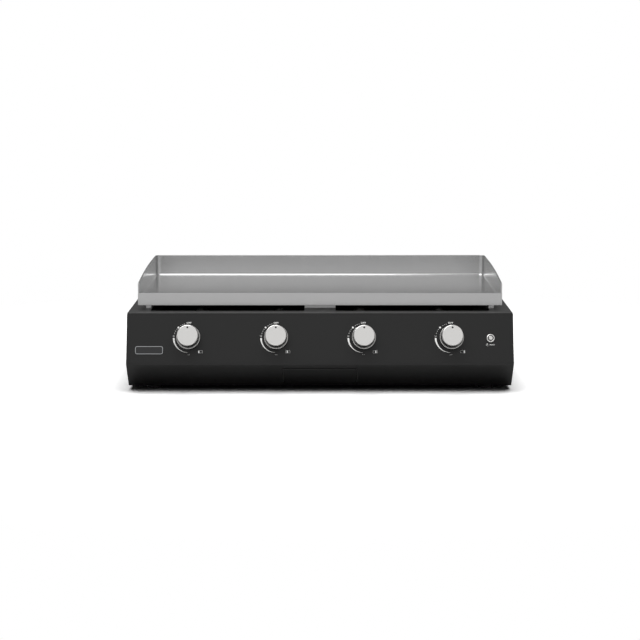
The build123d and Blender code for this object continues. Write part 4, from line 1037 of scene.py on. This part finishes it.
class GRIDDLE_OT_stage(bpy.types.Operator):
    """Set the floor, the studio light and the camera"""

    bl_idname = "griddle.stage"
    bl_label = "Set the stage"

    def execute(self, context):
        scene = context.scene
        scene.view_settings.view_transform = "Standard"
        self.lay_floor(scene)
        self.light_studio(scene)
        camera = bpy.data.objects.new("camera", bpy.data.cameras.new("camera"))
        camera.data.lens = CAMERA_LENS
        camera.data.sensor_width = CAMERA_FRAME
        camera.location = CAMERA_PLACE
        camera.rotation_euler = (radians(90 - CAMERA_TILT), 0, 0)
        scene.collection.objects.link(camera)
        scene.camera = camera
        return {"FINISHED"}

    def lay_floor(self, scene):
        """A white floor that keeps the shadow, and thins out into the white surround away from the part."""
        bm = bmesh.new()
        bmesh.ops.create_grid(bm, x_segments=1, y_segments=1, size=3)
        mesh = mesh_from(bm, "floor")
        floor = bpy.data.objects.new("floor", mesh)
        scene.collection.objects.link(floor)
        made, tree, place = start_material("white_floor")
        path = add_node(tree, "ShaderNodeLightPath")
        bounced = add_node(
            tree, "ShaderNodeMix",
            {"Factor": path.outputs["Is Glossy Ray"], 2: FLOOR_SCATTERED, 3: FLOOR_MIRRORED},
            data_type="FLOAT",
        )
        shade = add_node(
            tree, "ShaderNodeMix",
            {"Factor": path.outputs["Is Camera Ray"], 2: bounced.outputs[0], 3: FLOOR_SEEN},
            data_type="FLOAT",
        )
        diffuse = add_node(tree, "ShaderNodeBsdfDiffuse", {"Color": shade.outputs[0]})
        clear = add_node(tree, "ShaderNodeBsdfTransparent")
        reach = add_node(tree, "ShaderNodeVectorMath", {0: place}, operation="LENGTH")
        thin = add_node(
            tree, "ShaderNodeMapRange",
            {"Value": reach.outputs["Value"], "From Min": FLOOR_EDGE[0], "From Max": FLOOR_EDGE[1]},
            interpolation_type="SMOOTHSTEP",
        )
        under = add_node(tree, "ShaderNodeNewGeometry").outputs["Backfacing"]
        gone = add_node(tree, "ShaderNodeMath", {0: thin.outputs["Result"], 1: under}, operation="MAXIMUM")
        both = add_node(
            tree, "ShaderNodeMixShader",
            {0: gone.outputs["Value"], 1: diffuse.outputs["BSDF"], 2: clear.outputs["BSDF"]},
        )
        add_node(tree, "ShaderNodeOutputMaterial", {"Surface": both.outputs["Shader"]})
        mesh.materials.append(made)

    def light_studio(self, scene):
        """A white surround for the camera, a grey room for reflections that is darker behind, two softboxes
        overhead, of which the left one shows in the metal, and one in front that is flagged off the floor."""
        world = bpy.data.worlds.new("studio")
        scene.world = world
        world.use_nodes = True
        tree = world.node_tree
        tree.nodes.clear()
        path = add_node(tree, "ShaderNodeLightPath")
        way = add_node(tree, "ShaderNodeTexCoord").outputs["Generated"]
        _, back, up = add_node(tree, "ShaderNodeSeparateXYZ", {"Vector": way}).outputs
        ahead, behind = [
            add_node(
                tree, "ShaderNodeMapRange",
                {"Value": up, "From Min": low, "From Max": high, "To Min": dim, "To Max": bright},
                interpolation_type="SMOOTHSTEP",
            ).outputs["Result"]
            for low, high, dim, bright in (ROOM_AHEAD, ROOM_BEHIND)
        ]
        room = add_node(
            tree, "ShaderNodeMapRange",
            {"Value": back, "From Min": -BLEND, "From Max": BLEND, "To Min": ahead, "To Max": behind},
            interpolation_type="SMOOTHSTEP",
        )
        fill = add_node(
            tree, "ShaderNodeMix",
            {"Factor": path.outputs["Is Glossy Ray"], 2: ROOM_FILL, 3: room.outputs["Result"]},
            data_type="FLOAT",
        )
        level = add_node(
            tree, "ShaderNodeMix", {"Factor": path.outputs["Is Camera Ray"], 2: fill.outputs[0], 3: 1.0},
            data_type="FLOAT",
        )
        surround = add_node(
            tree, "ShaderNodeBackground", {"Color": (1, 1, 1, 1), "Strength": level.outputs[0]}
        )
        add_node(tree, "ShaderNodeOutputWorld", {"Surface": surround.outputs["Background"]})
        lamps = {name: self.hang_softbox(scene, name, *facts) for name, facts in SOFTBOXES.items()}
        lamps["right_softbox"].visible_glossy = False
        lamps["front_softbox"].visible_glossy = False
        flag = bpy.data.collections.new("flagged_off")
        flag.objects.link(bpy.data.objects["floor"])
        flag.collection_objects[0].light_linking.link_state = "EXCLUDE"
        lamps["front_softbox"].light_linking.receiver_collection = flag

    def hang_softbox(self, scene, name, size, watts, spot):
        """Hang one rectangular softbox that looks at the part, out of the camera's sight."""
        lamp = bpy.data.lights.new(name, "AREA")
        lamp.shape = "RECTANGLE"
        lamp.size, lamp.size_y = size
        lamp.energy = watts
        softbox = bpy.data.objects.new(name, lamp)
        scene.collection.objects.link(softbox)
        softbox.location = spot
        softbox.rotation_euler = (-softbox.location).to_track_quat("-Z", "Y").to_euler()
        softbox.visible_camera = False
        return softbox


class GRIDDLE_PT_sidebar(bpy.types.Panel):
    """Lists the griddle's operators with its sizes and colours"""

    bl_idname = "GRIDDLE_PT_sidebar"
    bl_label = "Gas griddle"
    bl_space_type = "VIEW_3D"
    bl_region_type = "UI"
    bl_category = "Griddle"

    def draw(self, context):
        for step in STEPS:
            self.layout.operator(step.bl_idname)
        for group in (context.scene.griddle_sizes, context.scene.griddle_colours):
            for name in group.__annotations__:
                self.layout.prop(group, name)


STEPS = [
    GRIDDLE_OT_body, GRIDDLE_OT_burners, GRIDDLE_OT_pan, GRIDDLE_OT_fittings, GRIDDLE_OT_knobs,
    GRIDDLE_OT_prints, GRIDDLE_OT_igniter, GRIDDLE_OT_badge, GRIDDLE_OT_stage,
]
CLASSES = [GriddleSizes, GriddleColours, *STEPS, GRIDDLE_PT_sidebar]


def register():
    for item in CLASSES:
        bpy.utils.register_class(item)
    bpy.types.Scene.griddle_sizes = PointerProperty(type=GriddleSizes)
    bpy.types.Scene.griddle_colours = PointerProperty(type=GriddleColours)


def unregister():
    del bpy.types.Scene.griddle_colours
    del bpy.types.Scene.griddle_sizes
    for item in reversed(CLASSES):
        bpy.utils.unregister_class(item)


def main():
    register()
    bpy.ops.griddle.body()
    bpy.ops.griddle.burners()
    bpy.ops.griddle.pan()
    bpy.ops.griddle.fittings()
    bpy.ops.griddle.knobs()
    bpy.ops.griddle.prints()
    bpy.ops.griddle.igniter()
    bpy.ops.griddle.badge()
    bpy.ops.griddle.stage()


if __name__ == "__main__":
    main()
